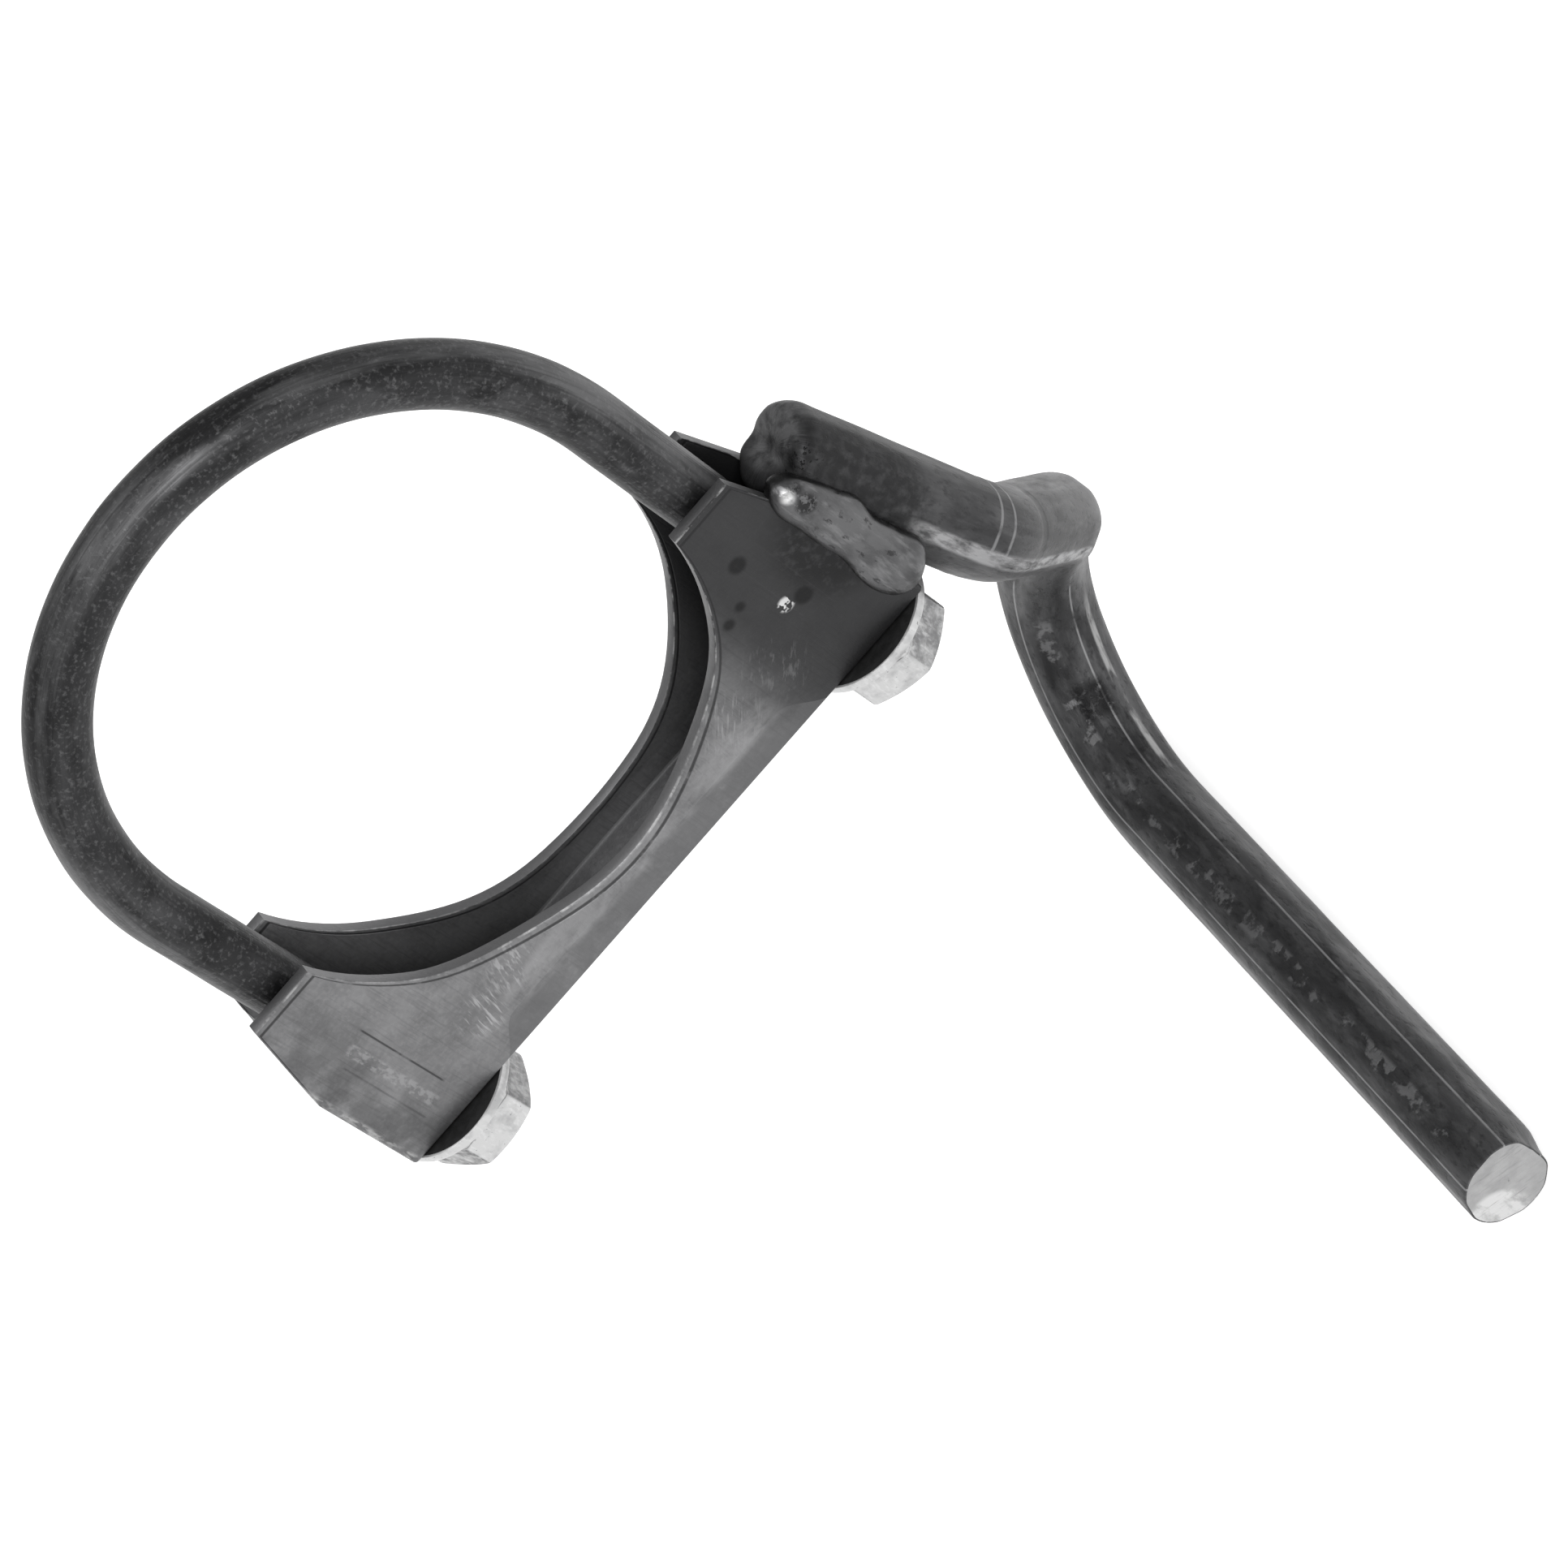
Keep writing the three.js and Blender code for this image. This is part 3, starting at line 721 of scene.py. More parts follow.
@dataclass
class UBolt:
    """Round bar bent to a U, with rolled threads on the lower end of each leg."""

    shank_radius: float = 4.2 * MM
    leg_radius: float = 4.65 * MM
    crest_radius: float = 4.62 * MM
    root_radius: float = 3.95 * MM
    tip_radius: float = 3.7 * MM
    pitch: float = 25.4 / 16 * MM
    thread_length: float = 27.0 * MM
    loop_start: float = 10.3 * MM
    flank_slope: float = 2.6  # how steeply a thread's flank rises, in thread depths a pitch
    root_flat: float = 0.2  # how much of that rise the flat root takes away
    run_out: float = 3.0  # turns over which the thread fades into the shank
    unevenness: float = 0.04 * MM
    lump: float = 6.0 * MM
    crease: float = 50.0
    sides: int = 40
    rows_per_turn: int = 9
    shank_rows: int = 16
    loop_rows: int = 96

    def path(self, leg: float, foot: float, crown: float) -> list[Vector]:
        """Points from the right leg's end round to the left leg's end.

        Args:
            leg: how far each leg stands from the middle.
            foot: the height of the legs' ends.
            crown: how far the loop rises above the legs.

        Returns:
            The points of the bar's centre line.
        """
        turns = round(self.thread_length / self.pitch * self.rows_per_turn)
        up = [foot + self.pitch * k / self.rows_per_turn for k in range(turns + 1)]
        top = up[-1]
        up += [top + (self.loop_start - top) * k / self.shank_rows for k in range(1, self.shank_rows)]
        right = [Vector((leg, 0, z)) for z in up]
        loop = []
        for k in range(self.loop_rows + 1):
            angle = math.pi * k / self.loop_rows
            loop.append(Vector((leg * math.cos(angle), 0, self.loop_start + crown * math.sin(angle))))
        left = [Vector((-point.x, 0, point.z)) for point in reversed(right)]
        return right + loop + left

    def radius(self, depth: float, angle: float) -> float:
        """Radius at a distance from a leg's end and an angle round the leg.

        Args:
            depth: distance from the leg's end, in metres.
            angle: angle round the leg, in radians.

        Returns:
            The radius there, in metres.
        """
        turn = (depth / self.pitch - angle / math.tau) % 1.0
        ridge = min(1.0, max(0.0, abs(turn - 0.5) * self.flank_slope - self.root_flat))
        thread = self.root_radius + (self.crest_radius - self.root_radius) * ridge
        fade_start = self.thread_length - self.run_out * self.pitch
        fade = smooth(fade_start, self.thread_length - self.pitch / 2, depth)
        radius = thread + (self.shank_radius - thread) * fade
        return min(radius, self.tip_radius + depth)

    def build(self) -> bpy.types.Object:
        """Makes the bolt."""
        low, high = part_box("u_bolt")
        leg = (high.x - low.x) / 2 - self.leg_radius
        crown = high.z - self.shank_radius - self.unevenness - self.loop_start
        line = CentreLine(self.path(leg, low.z, crown), Vector((0, -1, 0)))

        def place(i: int, j: int) -> Vector:
            """The point of ring i and side j."""
            angle = math.tau * j / self.sides
            depth = min(line.along[i], line.length() - line.along[i])
            hand = angle if line.along[i] < line.length() / 2 else -angle
            point = line.points[i] + line.out(i, angle) * self.radius(depth, -hand)
            if depth > self.thread_length:
                point += line.out(i, angle) * (self.unevenness * grit(point, self.lump))
            return point

        def unbent(i: int, j: int) -> Vector:
            """The same point on the bar before it was bent."""
            return line.unbent(i, math.tau * j / self.sides, self.shank_radius)

        bm = loft(place, len(line.points), self.sides, Ends.CAPPED, unbent)
        piece = as_piece("u_bolt_bar", bm, self.crease)
        piece.data.materials.append(OILED_BAR_STEEL.build())
        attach(piece, "bolt")
        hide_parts("u_bolt")
        return piece


@dataclass
class HangerRod:
    """Round bar with drawn flats and three bends, cropped at the welded end and sawn at the free end."""

    radius: float = 6.27 * MM
    bends: tuple[float, float, float] = (18.3 * MM, 13.9 * MM, 23.2 * MM)
    corners: tuple[Triple, ...] = (
        (50.1, 0.0, -13.1), (57.5, 0.0, -50.4), (62.8, 20.4, -77.4), (42.2, 59.3, -117.6),
    )
    free_end: Triple = (41.125, -78.8, -114.765)
    flat_at: tuple[float, ...] = (2.0, 74.0, 146.0, 218.0, 290.0)
    pressed_out: float = 0.9  # how much of the flats' depth the bending die pressed out
    die_at: float = 48.0 * MM
    die_reach: float = 22.0 * MM
    flat_depth: float = 0.2 * MM
    sides: int = 80
    flat_blend: float = 160.0
    step: float = 1.0 * MM
    tip_rows: int = 10
    tip_points: int = 4  # points of the line that the cropped end's own rings stand in for
    face_rows: int = 12
    tight_rim: tuple[float, float] = (1.0 * MM, 1.3 * MM)  # inset and depth on the ear's side
    loose_rim: tuple[float, float] = (2.1 * MM, 3.0 * MM)  # inset and depth on the far side
    tip_reach: float = 9.0 * MM
    crop_slant: float = 0.06  # rise of the cropped end across the bar
    crop_grain: tuple[float, float] = (0.08, 3.0)  # height and size of its lumps, in millimetres
    groove_at: float = -0.8  # the groove's sizes are in millimetres
    groove_depth: float = 1.1
    groove_width: float = 1.9
    shear_depth: float = 1.1 * MM
    shear_reach: float = 4.5 * MM
    shear_full: float = 0.3 * MM
    shear_at: float = 50.0  # degrees round the bar
    shear_width: float = 32.0
    saw_edge: tuple[tuple[float, float], ...] = (  # set-back and inset of each ring, in millimetres
        (-0.25, 0.0), (-0.06, 0.06), (0.0, 0.25), (0.0, 2.6), (0.0, 5.2),
    )
    ring_mark: tuple[float, float] = (0.06, 0.6)  # height and width of a die ring, in millimetres
    groove_mark: tuple[float, float] = (0.14, 1.4)  # depth and width of the die's groove, in millimetres
    face_depth: float = 0.02 * MM
    unevenness: float = 0.05 * MM
    lump: float = 7.0 * MM
    crease: float = 40.0
    bed_points: int = 60
    bed_lead: float = 20.0 * MM
    bed_sides: int = 48

    def line(self) -> CentreLine:
        """The rod's centre line, from the welded end to the free end."""
        corners = [Vector(corner) * MM for corner in (*self.corners, self.free_end)]
        return CentreLine(filleted(corners, self.bends, self.step), Vector((1, 0, 0)))

    def section(self, angle: float, along: float) -> float:
        """Radius at an angle round the bar and a distance along it, smaller on the drawn flats.

        Args:
            angle: the angle round the bar, in radians.
            along: the distance along the bar, in metres.

        Returns:
            The radius there, in metres.
        """
        kept = 1 - self.pressed_out * bell(along - self.die_at, self.die_reach)
        radius = self.radius
        for middle in self.flat_at:
            off = math.cos(angle - middle * DEGREE)
            if off > 0.5:
                radius = soft_min(radius, (self.radius - self.flat_depth * kept) / off, self.flat_blend)
        return radius

    def rings(self, line: CentreLine) -> list[tuple[int, float, float]]:
        """Each ring as (point on the line, share of its full radius, share of the rim's rounding).

        The last is -1 on the flat of the cropped end.
        """
        last = len(line.points) - 1
        face = [(0, k / self.face_rows, -1.0) for k in range(1, self.face_rows)]
        rounding = [(0, 1.0, k / self.tip_rows) for k in range(self.tip_rows + 1)]
        middle = [(i, 1.0, 1.0) for i in range(self.tip_points, last)]
        return face + rounding + middle

    def tip(self, across: float, turn: float, share: float) -> tuple[float, float]:
        """The rounded rim of the cropped end, tight on the ear's side and loose on the other.

        Args:
            across: the radius of the bar there.
            turn: the angle round the bar, in radians.
            share: how far round the rim the point lies, from 0 on the end to 1 on the side.

        Returns:
            The radius and the set-back into the bar, in metres.
        """
        loose = 0.5 + 0.5 * math.cos(turn)
        inset, depth = (
            tight + (wide - tight) * loose for tight, wide in zip(self.tight_rim, self.loose_rim)
        )
        angle = math.pi / 2 * share
        return across - inset * (1 - math.sin(angle)), depth * (1 - math.cos(angle))

    def crop(self, across: float, point: Vector) -> float:
        """How far the cropped end stands beyond the end of the line, with the groove of the blade.

        Args:
            across: place across the end, away from the saddle's middle, in metres.
            point: the point, for its roughness.

        Returns:
            The height along the rod, in metres.
        """
        u = across / MM
        groove = self.groove_depth * bell(u - self.groove_at, self.groove_width)
        height, size = self.crop_grain
        return (self.crop_slant * u - groove + height * grit(point, size * MM)) * MM

    def end_taper(self, left: float, angle: float) -> float:
        """How much the shear flattened one side of the bar just before its free end.

        Args:
            left: how far the free end still is, in metres.
            angle: the angle round the bar, in radians.

        Returns:
            The loss of radius, in metres.
        """
        off = (angle / DEGREE - self.shear_at + 180) % 360 - 180
        near = smooth(self.shear_reach, self.shear_full, left)
        return self.shear_depth * near * bell(off, self.shear_width)

    def build(self) -> bpy.types.Object:
        """Makes the rod."""
        line = self.line()
        rings = self.rings(line)
        last = len(line.points) - 1
        face_y = self.free_end[1] * MM
        count = len(rings) + len(self.saw_edge)

        def place(i: int, j: int) -> Vector:
            """The point of ring i and side j."""
            angle = math.tau * j / self.sides
            near = rings[i][0] if i < len(rings) else last
            whole = self.section(angle, line.along[near])
            if i >= len(rings):
                back, inset = self.saw_edge[i - len(rings)]
                out = line.out(last, angle)
                point = line.points[last] + out * (whole - self.end_taper(0.0, angle) - inset * MM)
                along = line.tangents[last]
                return point + along * ((face_y - point.y) / along.y + back * MM)
            at, share, turned = rings[i]
            out = line.out(at, angle)
            if at:
                left = line.length() - line.along[at]
                point = line.points[at] + out * (whole - self.end_taper(left, angle))
                rough = self.unevenness * grit(point, self.lump)
                return point + out * (rough + self.tool_marks(line.along[at]))
            radius, back = self.tip(whole, angle, max(turned, 0.0))
            if turned < 0:
                radius, back = radius * share, 0.0
            point = line.points[0] + out * radius + line.tangents[0] * back
            fade = 1 - back / self.tip_reach
            return point - line.tangents[0] * (self.crop(radius * math.cos(angle), point) * fade)

        def unbent(i: int, j: int) -> Vector:
            """The same point on the bar before it was bent."""
            at = rings[i][0] if i < len(rings) else last
            return line.unbent(at, math.tau * j / self.sides, self.radius)

        bm = loft(place, count, self.sides, Ends.CAPPED, unbent)
        piece = as_piece("hanger_rod_bar", bm, self.crease)
        piece.data.materials.append(MILL_ROD_STEEL.build())
        piece.data.materials.append(SAWN_ROD_STEEL.build())
        for face in piece.data.polygons:
            sawn = face.normal.y < SAWN_PLANE and face.center.y < face_y + self.face_depth
            face.material_index = 1 if sawn else 0
        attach(piece, "saddle")
        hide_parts("hanger_rod")
        return piece

    def tool_marks(self, along: float) -> float:
        """Shallow rings that the bending die left round the first bend, as a change of radius."""
        s = along / MM
        height, width = self.ring_mark
        rings = sum(height * bell(s - ring, width) for ring in DIE_RINGS)
        depth, width = self.groove_mark
        return MM * (rings - depth * bell(s - DIE_GROOVE, width))

    def cutter(self, play: float) -> bpy.types.Object:
        """A plain bar on the same line, to cut the rod's bed in the saddle."""
        line = self.line()
        first = line.points[0] - line.tangents[0] * self.bed_lead
        points = [first] + line.points[1 : self.bed_points]
        line = CentreLine(points, Vector((1, 0, 0)))

        def place(i: int, j: int) -> Vector:
            """The point of ring i and side j."""
            return line.points[i] + line.out(i, math.tau * j / self.bed_sides) * (self.radius + play)

        return as_piece("rod_bed", loft(place, len(points), self.bed_sides, Ends.CAPPED))


@dataclass(frozen=True)
class Ear:
    """One upper corner of a cheek: the height of its top, and where the top turns down to the end wall."""

    top: float
    outer: float


@dataclass
class SaddlePressing:
    """A channel pressed from one sheet: web, two cheeks with round seats and two short end walls.

    Its sizes are in millimetres.
    """

    sheet: float = 1.8
    front_ears: tuple[Ear, Ear] = (Ear(-7.2, 44.3), Ear(-6.1, 43.8))  # left, then right
    back_ears: tuple[Ear, Ear] = (Ear(-6.4, 43.8), Ear(-6.0, 43.8))
    half_length: float = 48.2
    half_width: float = 6.75
    base: float = -42.2
    base_edge: float = 0.45
    corner: float = 0.6
    seat: float = 35.1
    shoulder: float = -23.4
    hole: float = 4.95
    hole_x: float = 39.4
    hole_edge: float = 0.3
    fold_top: float = -37.2
    fold_drop: float = 5.0
    fold_reach: float = 28.0
    fold_run: float = 3.0
    lean: float = 0.4
    lean_start: float = 8.0
    edge: float = 0.25
    lip_round: float = 0.3
    # inset and lift of the rows where the wall's inside meets the web
    hem: tuple[tuple[float, float], ...] = ((0.0, 0.38), (0.12, 0.12), (0.5, 0.0))
    # rows between the fold and the rim, as shares of the height between them
    wall_rows: tuple[float, ...] = (0.04, 0.09, 0.16, 0.26, 0.38, 0.5, 0.62, 0.74, 0.87, 1.0)
    strip_rows: int = 3
    strip_least: float = 0.8  # height of the strip under the fold where the fold runs out
    strip_ends: tuple[float, float] = (0.4, 0.15)  # gap below its first row and above its last
    arc_steps: int = 60
    ear_steps: int = 5
    bend_steps: int = 6
    end_steps: int = 4
    foot_steps: int = 4
    hole_sides: int = 48
    off_fold: float = 10.0  # height above the fold that is kept for faces without a fold
    bed_play: float = 0.06
    crease: float = 28.0

    def ear(self, x: float, y: float) -> Ear:
        """The ear on the side of a place in plan; the four came out of the press a little different."""
        left, right = self.front_ears if y < 0 else self.back_ears
        return left if x < 0 else right

    def cheek(self, y: float) -> list[float]:
        """Places along one cheek, from left to right."""
        left, right = self.ear(-1.0, y), self.ear(1.0, y)
        horns = [math.asin(math.sqrt(1 - (ear.top / self.seat) ** 2)) for ear in (left, right)]
        turn = horns[0] + horns[1]
        arc = [self.seat * math.sin(turn * k / self.arc_steps - horns[0]) for k in range(self.arc_steps + 1)]
        inner, steps = self.half_length - self.corner, self.ear_steps
        before = [-inner, -(inner + left.outer) / 2]
        before += [-left.outer + (left.outer + arc[0]) * k / steps for k in range(steps)]
        after = [arc[-1] + (right.outer - arc[-1]) * k / steps for k in range(1, steps + 1)]
        return before + arc + after + [(inner + right.outer) / 2, inner]

    def outline(self) -> list[tuple[float, float, float, float]]:
        """Places round the walls, as (x, y, outward x, outward y), anticlockwise from above."""
        inner, depth = self.half_length - self.corner, self.half_width - self.corner
        bend = []
        for k in range(1, self.bend_steps):
            angle = math.pi / 2 * k / self.bend_steps
            across, along = math.sin(angle), -math.cos(angle)
            bend.append((inner + self.corner * across, -depth + self.corner * along, across, along))
        steps = self.end_steps
        end = [(self.half_length, depth * k / steps, 1.0, 0.0) for k in range(-steps, steps + 1)]
        right = bend + end + [(x, -y, nx, -ny) for x, y, nx, ny in reversed(bend)]
        left = [(-x, -y, -nx, -ny) for x, y, nx, ny in right]
        front = [(x, -self.half_width, 0.0, -1.0) for x in self.cheek(-1.0)]
        back = [(x, self.half_width, 0.0, 1.0) for x in reversed(self.cheek(1.0))]
        return front + right + back + left

    def top(self, x: float, y: float) -> float:
        """Height of the walls' upper edge at a place in plan."""
        ear, x = self.ear(x, y), abs(x)
        seat = -math.sqrt(max(self.seat**2 - x * x, 0.0))
        run = (x - ear.outer) / (self.half_length - ear.outer)
        if run <= 0:
            return min(seat, ear.top)
        return ear.top + (self.shoulder - ear.top) * min(run, 1.0)

    def fold(self, x: float) -> float:
        """Height of the fold above which a cheek leans inwards; it runs out at the base beside the ears."""
        low, high = self.fold_reach - self.fold_run, self.fold_reach + self.fold_run
        return self.fold_top - self.fold_drop * smooth(low, high, abs(x))

    def pinch(self, x: float, z: float) -> float:
        """How far a cheek leans inwards at a place on it, in millimetres."""
        above = z - self.fold(x)
        slope = self.lean * (1 - smooth(self.lean_start, self.fold_reach, abs(x)))
        return slope * max(above, 0.0)

    def column(self, x: float, y: float) -> list[tuple[float, float]]:
        """Rows of the wall at one place in plan, as (inset, height), up the outside and down the inside."""
        top, floor = self.top(x, y), self.base + self.sheet
        rim, fold = top - self.edge, max(self.fold(x), floor + self.strip_least)
        foot = []
        for k in range(self.foot_steps + 1):
            angle = math.pi / 2 * k / self.foot_steps
            inset, lift = 1 - math.sin(angle), 1 - math.cos(angle)
            foot.append((self.base_edge * inset, self.base + self.base_edge * lift))
        first, last = floor + self.strip_ends[0], fold - self.strip_ends[1]
        wall = [first + (last - first) * k / self.strip_rows for k in range(self.strip_rows + 1)] + [fold]
        wall += [fold + (rim - fold) * share for share in self.wall_rows]
        bevel = self.edge * self.lip_round
        lip = [(bevel, top - bevel), (self.edge, top),
               (self.sheet - self.edge, top), (self.sheet - bevel, top - bevel)]
        hem = [(self.sheet + inset, floor + lift) for inset, lift in self.hem]
        return foot + [(0.0, z) for z in wall] + lip + [(self.sheet, z) for z in reversed(wall)] + hem

    def build(self, rod: HangerRod) -> bpy.types.Object:
        """Makes the saddle.

        Args:
            rod: the rod whose bed is cut in the right ear.

        Returns:
            The saddle.
        """
        plan = self.outline()
        columns = [self.column(x, y) for x, y, _, _ in plan]

        def place(i: int, j: int) -> Vector:
            """The point of row i at place j of the plan."""
            x, y, nx, ny = plan[j]
            inset, z = columns[j][i]
            lean = self.pinch(x, z) if abs(ny) == 1.0 else 0.0
            long, wide = self.half_length - inset, self.half_width - inset
            across = max(-long, min(long, x - nx * inset))
            along = max(-wide, min(wide, y - ny * inset)) - ny * lean
            return Vector((across, along, z)) * MM

        def unbent(i: int, j: int) -> Vector:
            """Place along the saddle, distance below the sheared edge, and distance above the fold."""
            x, y, _, ny = plan[j]
            inset, z = columns[j][i]
            above = z - self.fold(x) if abs(ny) == 1.0 and inset < self.edge else self.off_fold
            return Vector((x, self.top(x, y) - z, above)) * MM

        rows = len(columns[0])
        bm = loft(place, rows, len(plan), Ends.OPEN, unbent)
        self.close_web(bm)
        bmesh.ops.recalc_face_normals(bm, faces=bm.faces)
        piece = as_piece("saddle_pressing", bm, self.crease)
        cut_away(piece, rod.cutter(self.bed_play * MM), self.crease)
        piece.data.materials.append(PRESSED_SHEET_STEEL.build())
        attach(piece, "saddle")
        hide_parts("saddle")
        return piece

    def close_web(self, bm: bmesh.types.BMesh) -> None:
        """Fills the web's two faces between the walls, with a hole for each leg."""
        under, over = self.base, self.base + self.sheet
        free = [edge for edge in bm.edges if edge.is_boundary]
        rims: dict[float, list[bmesh.types.BMEdge]] = {
            z: [edge for edge in free if abs(edge.verts[0].co.z / MM - z) < SAME_HEIGHT]
            for z in (under, over)
        }
        for side in Side:
            centre = Vector((side.value * self.hole_x, 0, 0)) * MM
            mouth = (self.hole + self.hole_edge) * MM
            circle = bmesh.ops.create_circle(bm, cap_ends=False, radius=mouth, segments=self.hole_sides)
            verts = circle["verts"]
            bmesh.ops.translate(bm, verts=verts, vec=centre + Vector((0, 0, under * MM)))
            edges = list(dict.fromkeys(edge for vert in verts for edge in vert.link_edges))
            rims[under] += edges
            steps = ((self.hole, under + self.hole_edge), (self.hole, over - self.hole_edge),
                     (self.hole + self.hole_edge, over))
            for radius, z in steps:
                verts, edges = grown(bm, edges)
                for vert in verts:
                    away = Vector((vert.co.x - centre.x, vert.co.y, 0)).normalized() * radius
                    vert.co = centre + Vector((away.x, away.y, z)) * MM
            rims[over] += edges
        for edges in rims.values():
            bmesh.ops.triangle_fill(bm, use_beauty=True, use_dissolve=False, edges=edges)


@dataclass
class FlangeNut:
    """A cold-formed hex nut with an integral flange, zinc plated. Its sizes are in millimetres."""

    node: str
    body: str
    turn: float
    flats: float = 15.0
    height: float = 9.0
    flange: float = 10.07
    rim: float = 1.5
    bore: float = 4.85
    chamfer: float = 0.45
    corner_round: float = 0.12
    end_face: tuple[float, float] = (6.2, 6.9)
    crown_radius: float = 7.0
    crown_slope: float = 2.0
    crown_start: float = 0.06
    crown_rings: int = 13
    crown_step: float = 0.08
    hex_rings: tuple[float, ...] = (-7.4, -6.6, -5.8, -5.0)
    skirt_slope: float = 1.15
    skirt_inset: float = 0.15
    skirt_start: float = -4.4
    skirt_end: float = -1.6
    skirt_rings: int = 22
    rim_rings: tuple[tuple[float, float], ...] = (  # height and inset of each ring of the rim
        (-1.38, 0.04), (-1.2, 0.0), (-0.35, 0.0), (-0.12, 0.08), (0.0, 0.3),
    )
    bearing: float = 8.0
    hex_blend: float = 140.0
    cone_blend: float = 70.0
    crease: float = 30.0
    sides: int = 180

    def hexagon(self, angle: float) -> float:
        """Radius of the hex at an angle round the nut, with its corners slightly rounded."""
        off = (angle - self.turn * DEGREE + math.pi / 6) % (math.pi / 3) - math.pi / 6
        corner = self.flats / math.sqrt(3) - self.corner_round
        return soft_min(self.flats / 2 / math.cos(off), corner, self.hex_blend)

    def crown(self, z: float) -> float:
        """Radius of the chamfer cone at the outer end."""
        return self.crown_radius + (z + self.height) * self.crown_slope

    def skirt(self, z: float) -> float:
        """Radius of the flange's upper cone."""
        return self.flange - self.skirt_inset + (z + self.rim) * self.skirt_slope

    def profile(self) -> list[tuple[float, Callable[[float], float]]]:
        """Each ring as its height and its radius as a function of the hex's radius there."""
        end, bore = -self.height, self.bore

        def ring(z: float, radius: float) -> tuple[float, Callable[[float], float]]:
            """A round ring."""
            return z, lambda hexed: radius

        rings = [ring(end, radius) for radius in self.end_face]
        for k in range(self.crown_rings):
            z = end + self.crown_start + self.crown_step * k
            rings.append((z, lambda hexed, z=z: soft_min(hexed, self.crown(z), self.cone_blend)))
        rings += [(z, lambda hexed: hexed) for z in self.hex_rings]
        for k in range(self.skirt_rings):
            z = self.skirt_start + (self.skirt_end - self.skirt_start) * k / (self.skirt_rings - 1)
            rings.append((z, lambda hexed, z=z: soft_max(hexed, self.skirt(z), self.cone_blend)))
        rings += [ring(z, self.flange - inset) for z, inset in self.rim_rings]
        rings += [ring(0.0, self.bearing), ring(0.0, bore + self.chamfer), ring(-self.chamfer, bore),
                  ring(end + self.chamfer, bore), ring(end, bore + self.chamfer), ring(end, self.end_face[0])]
        return rings

    def build(self, zinc: bpy.types.Material, dirt: bpy.types.Material) -> bpy.types.Object:
        """Makes the nut.

        Args:
            zinc: the finish of its outside.
            dirt: the finish of its bearing face and bore, a near-black painted shade.

        Returns:
            The nut.
        """
        low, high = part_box(self.node)
        centre = Vector(((low.x + high.x) / 2, (low.y + high.y) / 2, high.z))
        rings = self.profile()

        def place(i: int, j: int) -> Vector:
            """The point of ring i and side j."""
            angle = math.tau * j / self.sides
            z, radius_of = rings[i]
            radius = radius_of(self.hexagon(angle))
            return centre + Vector((radius * math.cos(angle), radius * math.sin(angle), z)) * MM

        def unbent(i: int, j: int) -> Vector:
            """Height on the nut, then the place round it from the middle of a facet."""
            angle = math.tau * j / self.sides - self.turn * DEGREE
            return Vector((rings[i][0], math.cos(angle), math.sin(angle))) * MM

        bm = loft(place, len(rings), self.sides, Ends.JOINED, unbent)
        piece = as_piece(self.node + "_body", bm, self.crease)
        piece.data.materials.append(zinc)
        piece.data.materials.append(dirt)
        # the bearing face and the bore take the second finish, a near-black painted shade
        for face in piece.data.polygons:
            offset = face.center - centre
            inside = math.hypot(offset.x, offset.y) < (self.bore + self.chamfer / 2) * MM
            bearing = offset.z > -SAME_HEIGHT * MM
            face.material_index = 1 if inside or bearing else 0
        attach(piece, self.body)
        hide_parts(self.node)
        return piece


@dataclass
class WeldBead:
    """One weld between a cheek's edge and the rod, laid from the ear's top down.

    Its sizes are in millimetres.
    """

    node: str
    side: float
    top: float
    foot: float = -40.9
    middle: tuple[float, ...] = (47.2, 47.4, 48.0, 48.6, 48.4, 48.3, 48.6, 48.0)
    half: tuple[float, ...] = (3.1, 3.3, 3.3, 3.6, 3.2, 3.9, 4.5, 4.0)
    rise: tuple[float, ...] = (3.4, 2.9, 2.3, 2.5, 2.4, 2.1, 2.7, 2.3)
    bed: float = 6.3
    bluntness: float = 4.5
    squareness: float = 0.85
    wave: tuple[float, float] = (0.3, 4.5)  # height and size of the large lumps
    ripple: tuple[float, float] = (0.1, 3.0)  # height and size of the fine ones
    crease: float = 60.0
    sides: int = 72
    rings: int = 150

    def build(self, metal: bpy.types.Material) -> bpy.types.Object:
        """Makes the bead.

        Args:
            metal: the finish of the weld.

        Returns:
            The bead.
        """
        length = self.top - self.foot

        def place(i: int, j: int) -> Vector:
            """The point of ring i and side j."""
            t = (1 - math.cos(math.pi * (i + 0.5) / self.rings)) / 2
            angle = math.tau * j / self.sides
            taper = math.sqrt(max(0.0, 1 - abs(2 * t - 1) ** self.bluntness))
            across, lift = math.cos(angle), math.sin(angle)
            lift = math.copysign(abs(lift) ** self.squareness, lift)
            x = between(self.middle, t) + across * between(self.half, t) * taper
            y = self.bed + lift * between(self.rise, t) * taper
            point = Vector((x, self.side * y, self.top - length * t)) * MM
            height, size = self.wave
            flow = height * grit(point + Vector((self.side, 0, 0)), size * MM)
            height, size = self.ripple
            flow += height * grit(Vector((point.x * 3, point.y * 3, point.z)), size * MM)
            away = Vector((across, self.side * lift, 0)).normalized()
            return point + away * (flow * taper * MM)

        bm = loft(place, self.rings, self.sides, Ends.CAPPED)
        piece = as_piece(self.node + "_bead", bm, self.crease)
        piece.data.materials.append(metal)
        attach(piece, "saddle")
        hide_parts(self.node)
        return piece


# ---------------------------------------------------------------------------------------------
# Studio


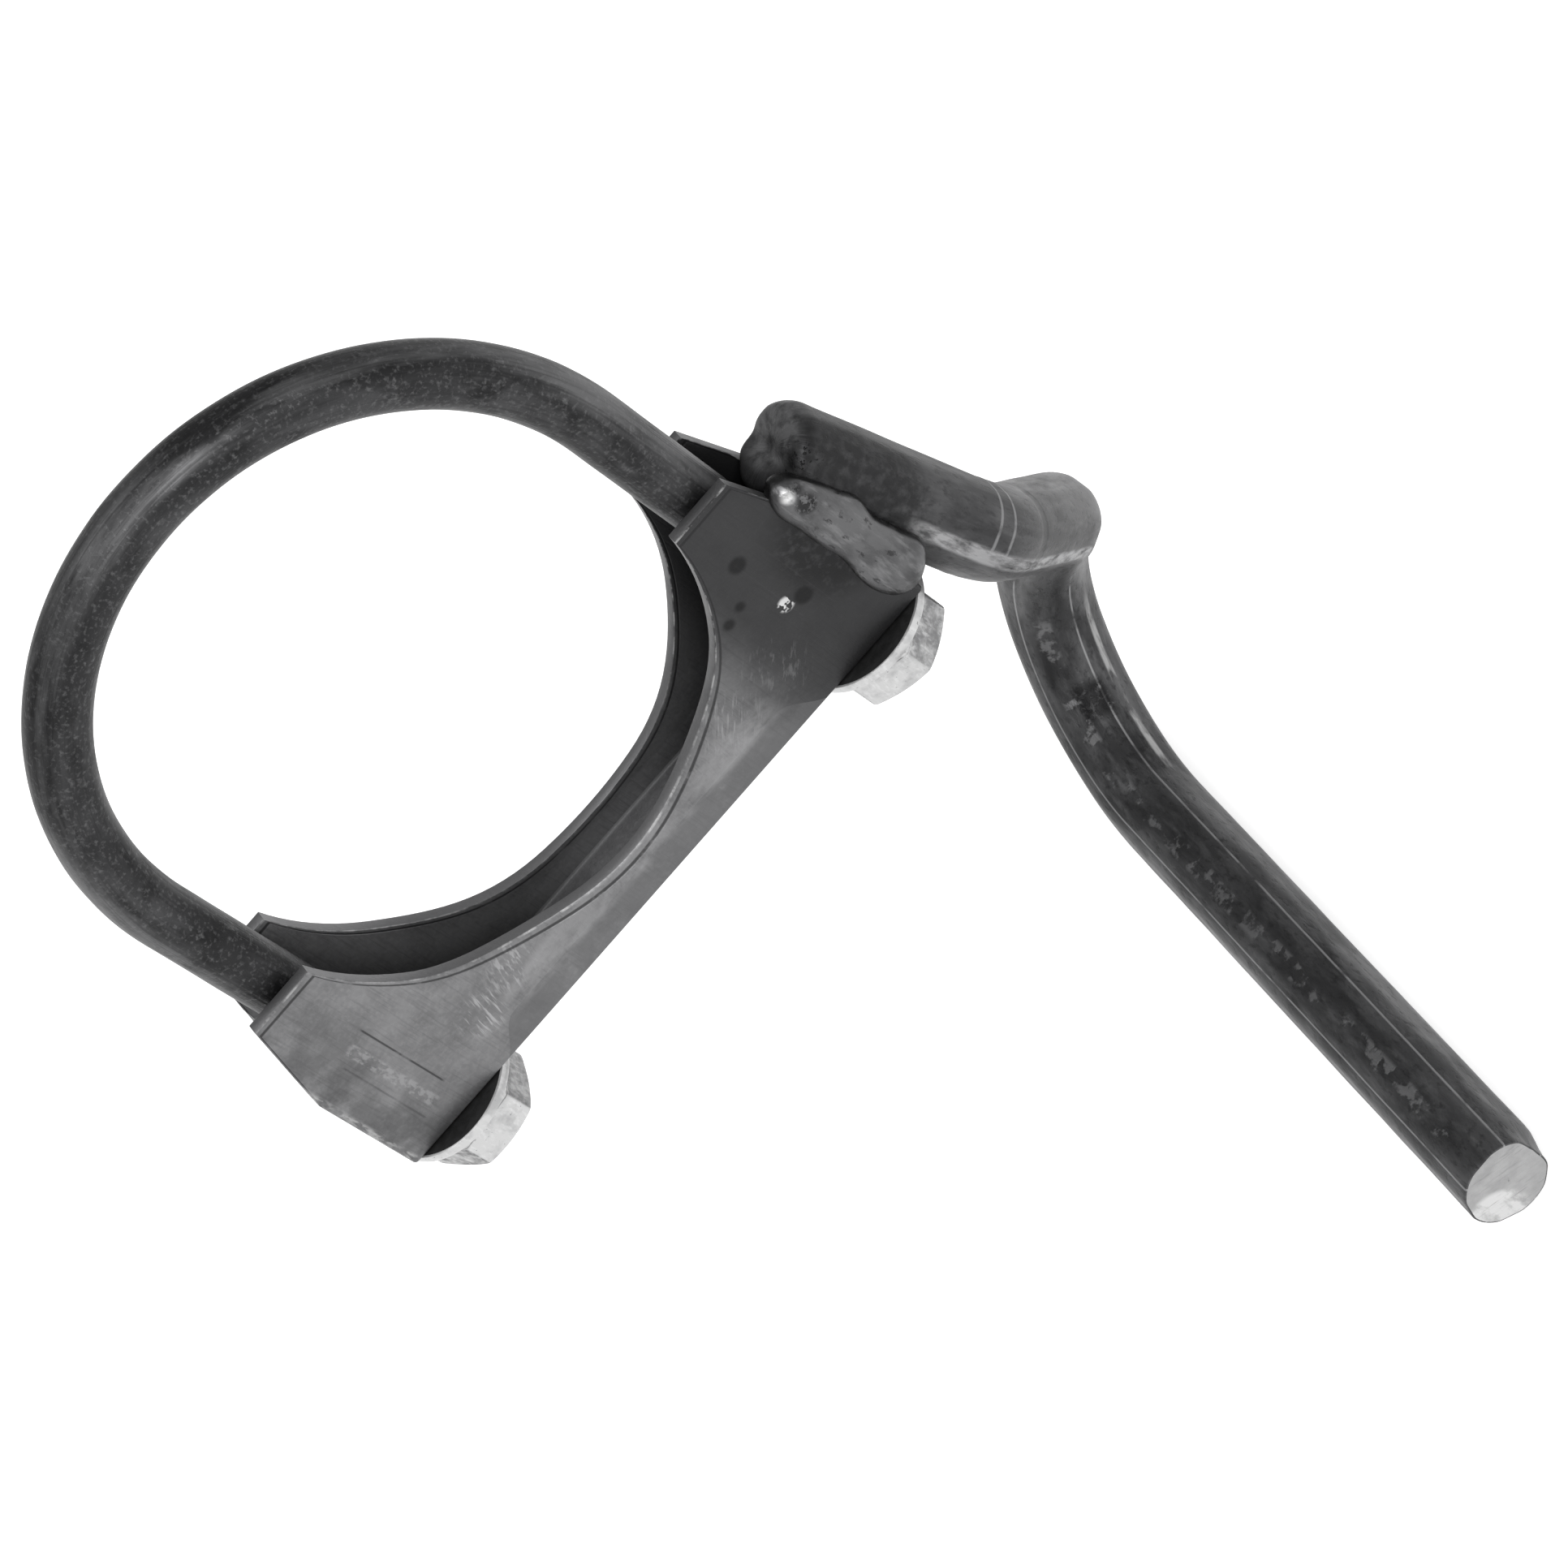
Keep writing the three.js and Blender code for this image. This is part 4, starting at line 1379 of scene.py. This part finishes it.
@dataclass
class Studio:
    """Pale floor, soft light and the camera."""

    camera_at: Triple = (112.94, -582.19, 504.475)
    camera_turn: Triple = (31.2477, 36.5775, -35.1288)
    lens: float = 148.05
    sensor: float = 36.0
    clip: tuple[float, float] = (0.01, 50.0)
    floor_drop: float = 1.0 * MM
    floor_size: float = 6.0
    sky: float = 0.45

    def camera(self) -> None:
        """Sets the camera."""
        data = bpy.data.cameras.new("camera")
        data.sensor_width = self.sensor
        data.lens = self.lens
        data.clip_start, data.clip_end = self.clip
        camera = bpy.data.objects.new("camera", data)
        bpy.context.scene.collection.objects.link(camera)
        camera.location = Vector(self.camera_at) * MM
        camera.rotation_euler = [angle * DEGREE for angle in self.camera_turn]
        bpy.context.scene.camera = camera

    def floor(self) -> None:
        """Lays the floor just under the clamp."""
        low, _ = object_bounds()
        bm = bmesh.new()
        bmesh.ops.create_grid(bm, x_segments=1, y_segments=1, size=self.floor_size)
        bmesh.ops.translate(bm, verts=bm.verts, vec=Vector((0, 0, low.z - self.floor_drop)))
        floor = as_piece("studio_floor", bm)
        floor.data.materials.append(TABLE_PAPER.build())
        floor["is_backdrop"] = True

    def light(self, name: str, at: Triple, size: float, power: float) -> None:
        """Adds one soft square light that faces the clamp.

        Args:
            name: the light's name.
            at: its place, in metres.
            size: the length of its side, in metres.
            power: its power, in watts.
        """
        data = bpy.data.lights.new(name, "AREA")
        data.size = size
        data.energy = power
        lamp = bpy.data.objects.new(name, data)
        bpy.context.scene.collection.objects.link(lamp)
        lamp.location = at
        lamp.rotation_mode = "QUATERNION"
        lamp.rotation_quaternion = (-Vector(at)).to_track_quat("-Z", "Y")

    def build(self) -> None:
        """Makes the whole studio."""
        scene = bpy.context.scene
        scene.view_settings.view_transform = "Standard"
        world = bpy.data.worlds.new("studio_world")
        world.use_nodes = True
        background = world.node_tree.nodes["Background"].inputs
        background["Color"].default_value = colour("ffffff")
        background["Strength"].default_value = self.sky
        scene.world = world
        self.camera()
        self.floor()
        self.light("key_softbox", at=(0.2, -1.1, 0.9), size=0.8, power=14.0)
        self.light("top_softbox", at=(-0.4, 0.1, 1.4), size=1.2, power=8.0)


NUTS = (("flange_nut_left", "nut_left", 37.0), ("flange_nut_right", "nut_right", 9.0))  # node, body, degrees
WELDS = (("weld_front", -1.0, -11.6), ("weld_back", 1.0, -17.0))  # node, side along Y, height of its top


def main() -> None:
    logging.basicConfig(level=logging.INFO, format="%(message)s")
    rod = HangerRod()
    # the nuts' bearing faces and bores get a near-black painted shade
    zinc, dirt = CLEAR_ZINC_PLATE.build(), OILED_DIRT.build()
    weld = WELD_STEEL.build()
    made = [UBolt().build(), rod.build(), SaddlePressing().build(rod)]
    made += [FlangeNut(node, body, turn).build(zinc, dirt) for node, body, turn in NUTS]
    made += [WeldBead(node, side, top).build(weld) for node, side, top in WELDS]
    for piece in made:
        LOG.info("%s: %d faces", piece.name, len(piece.data.polygons))
    Studio().build()


if __name__ == "__main__":
    main()
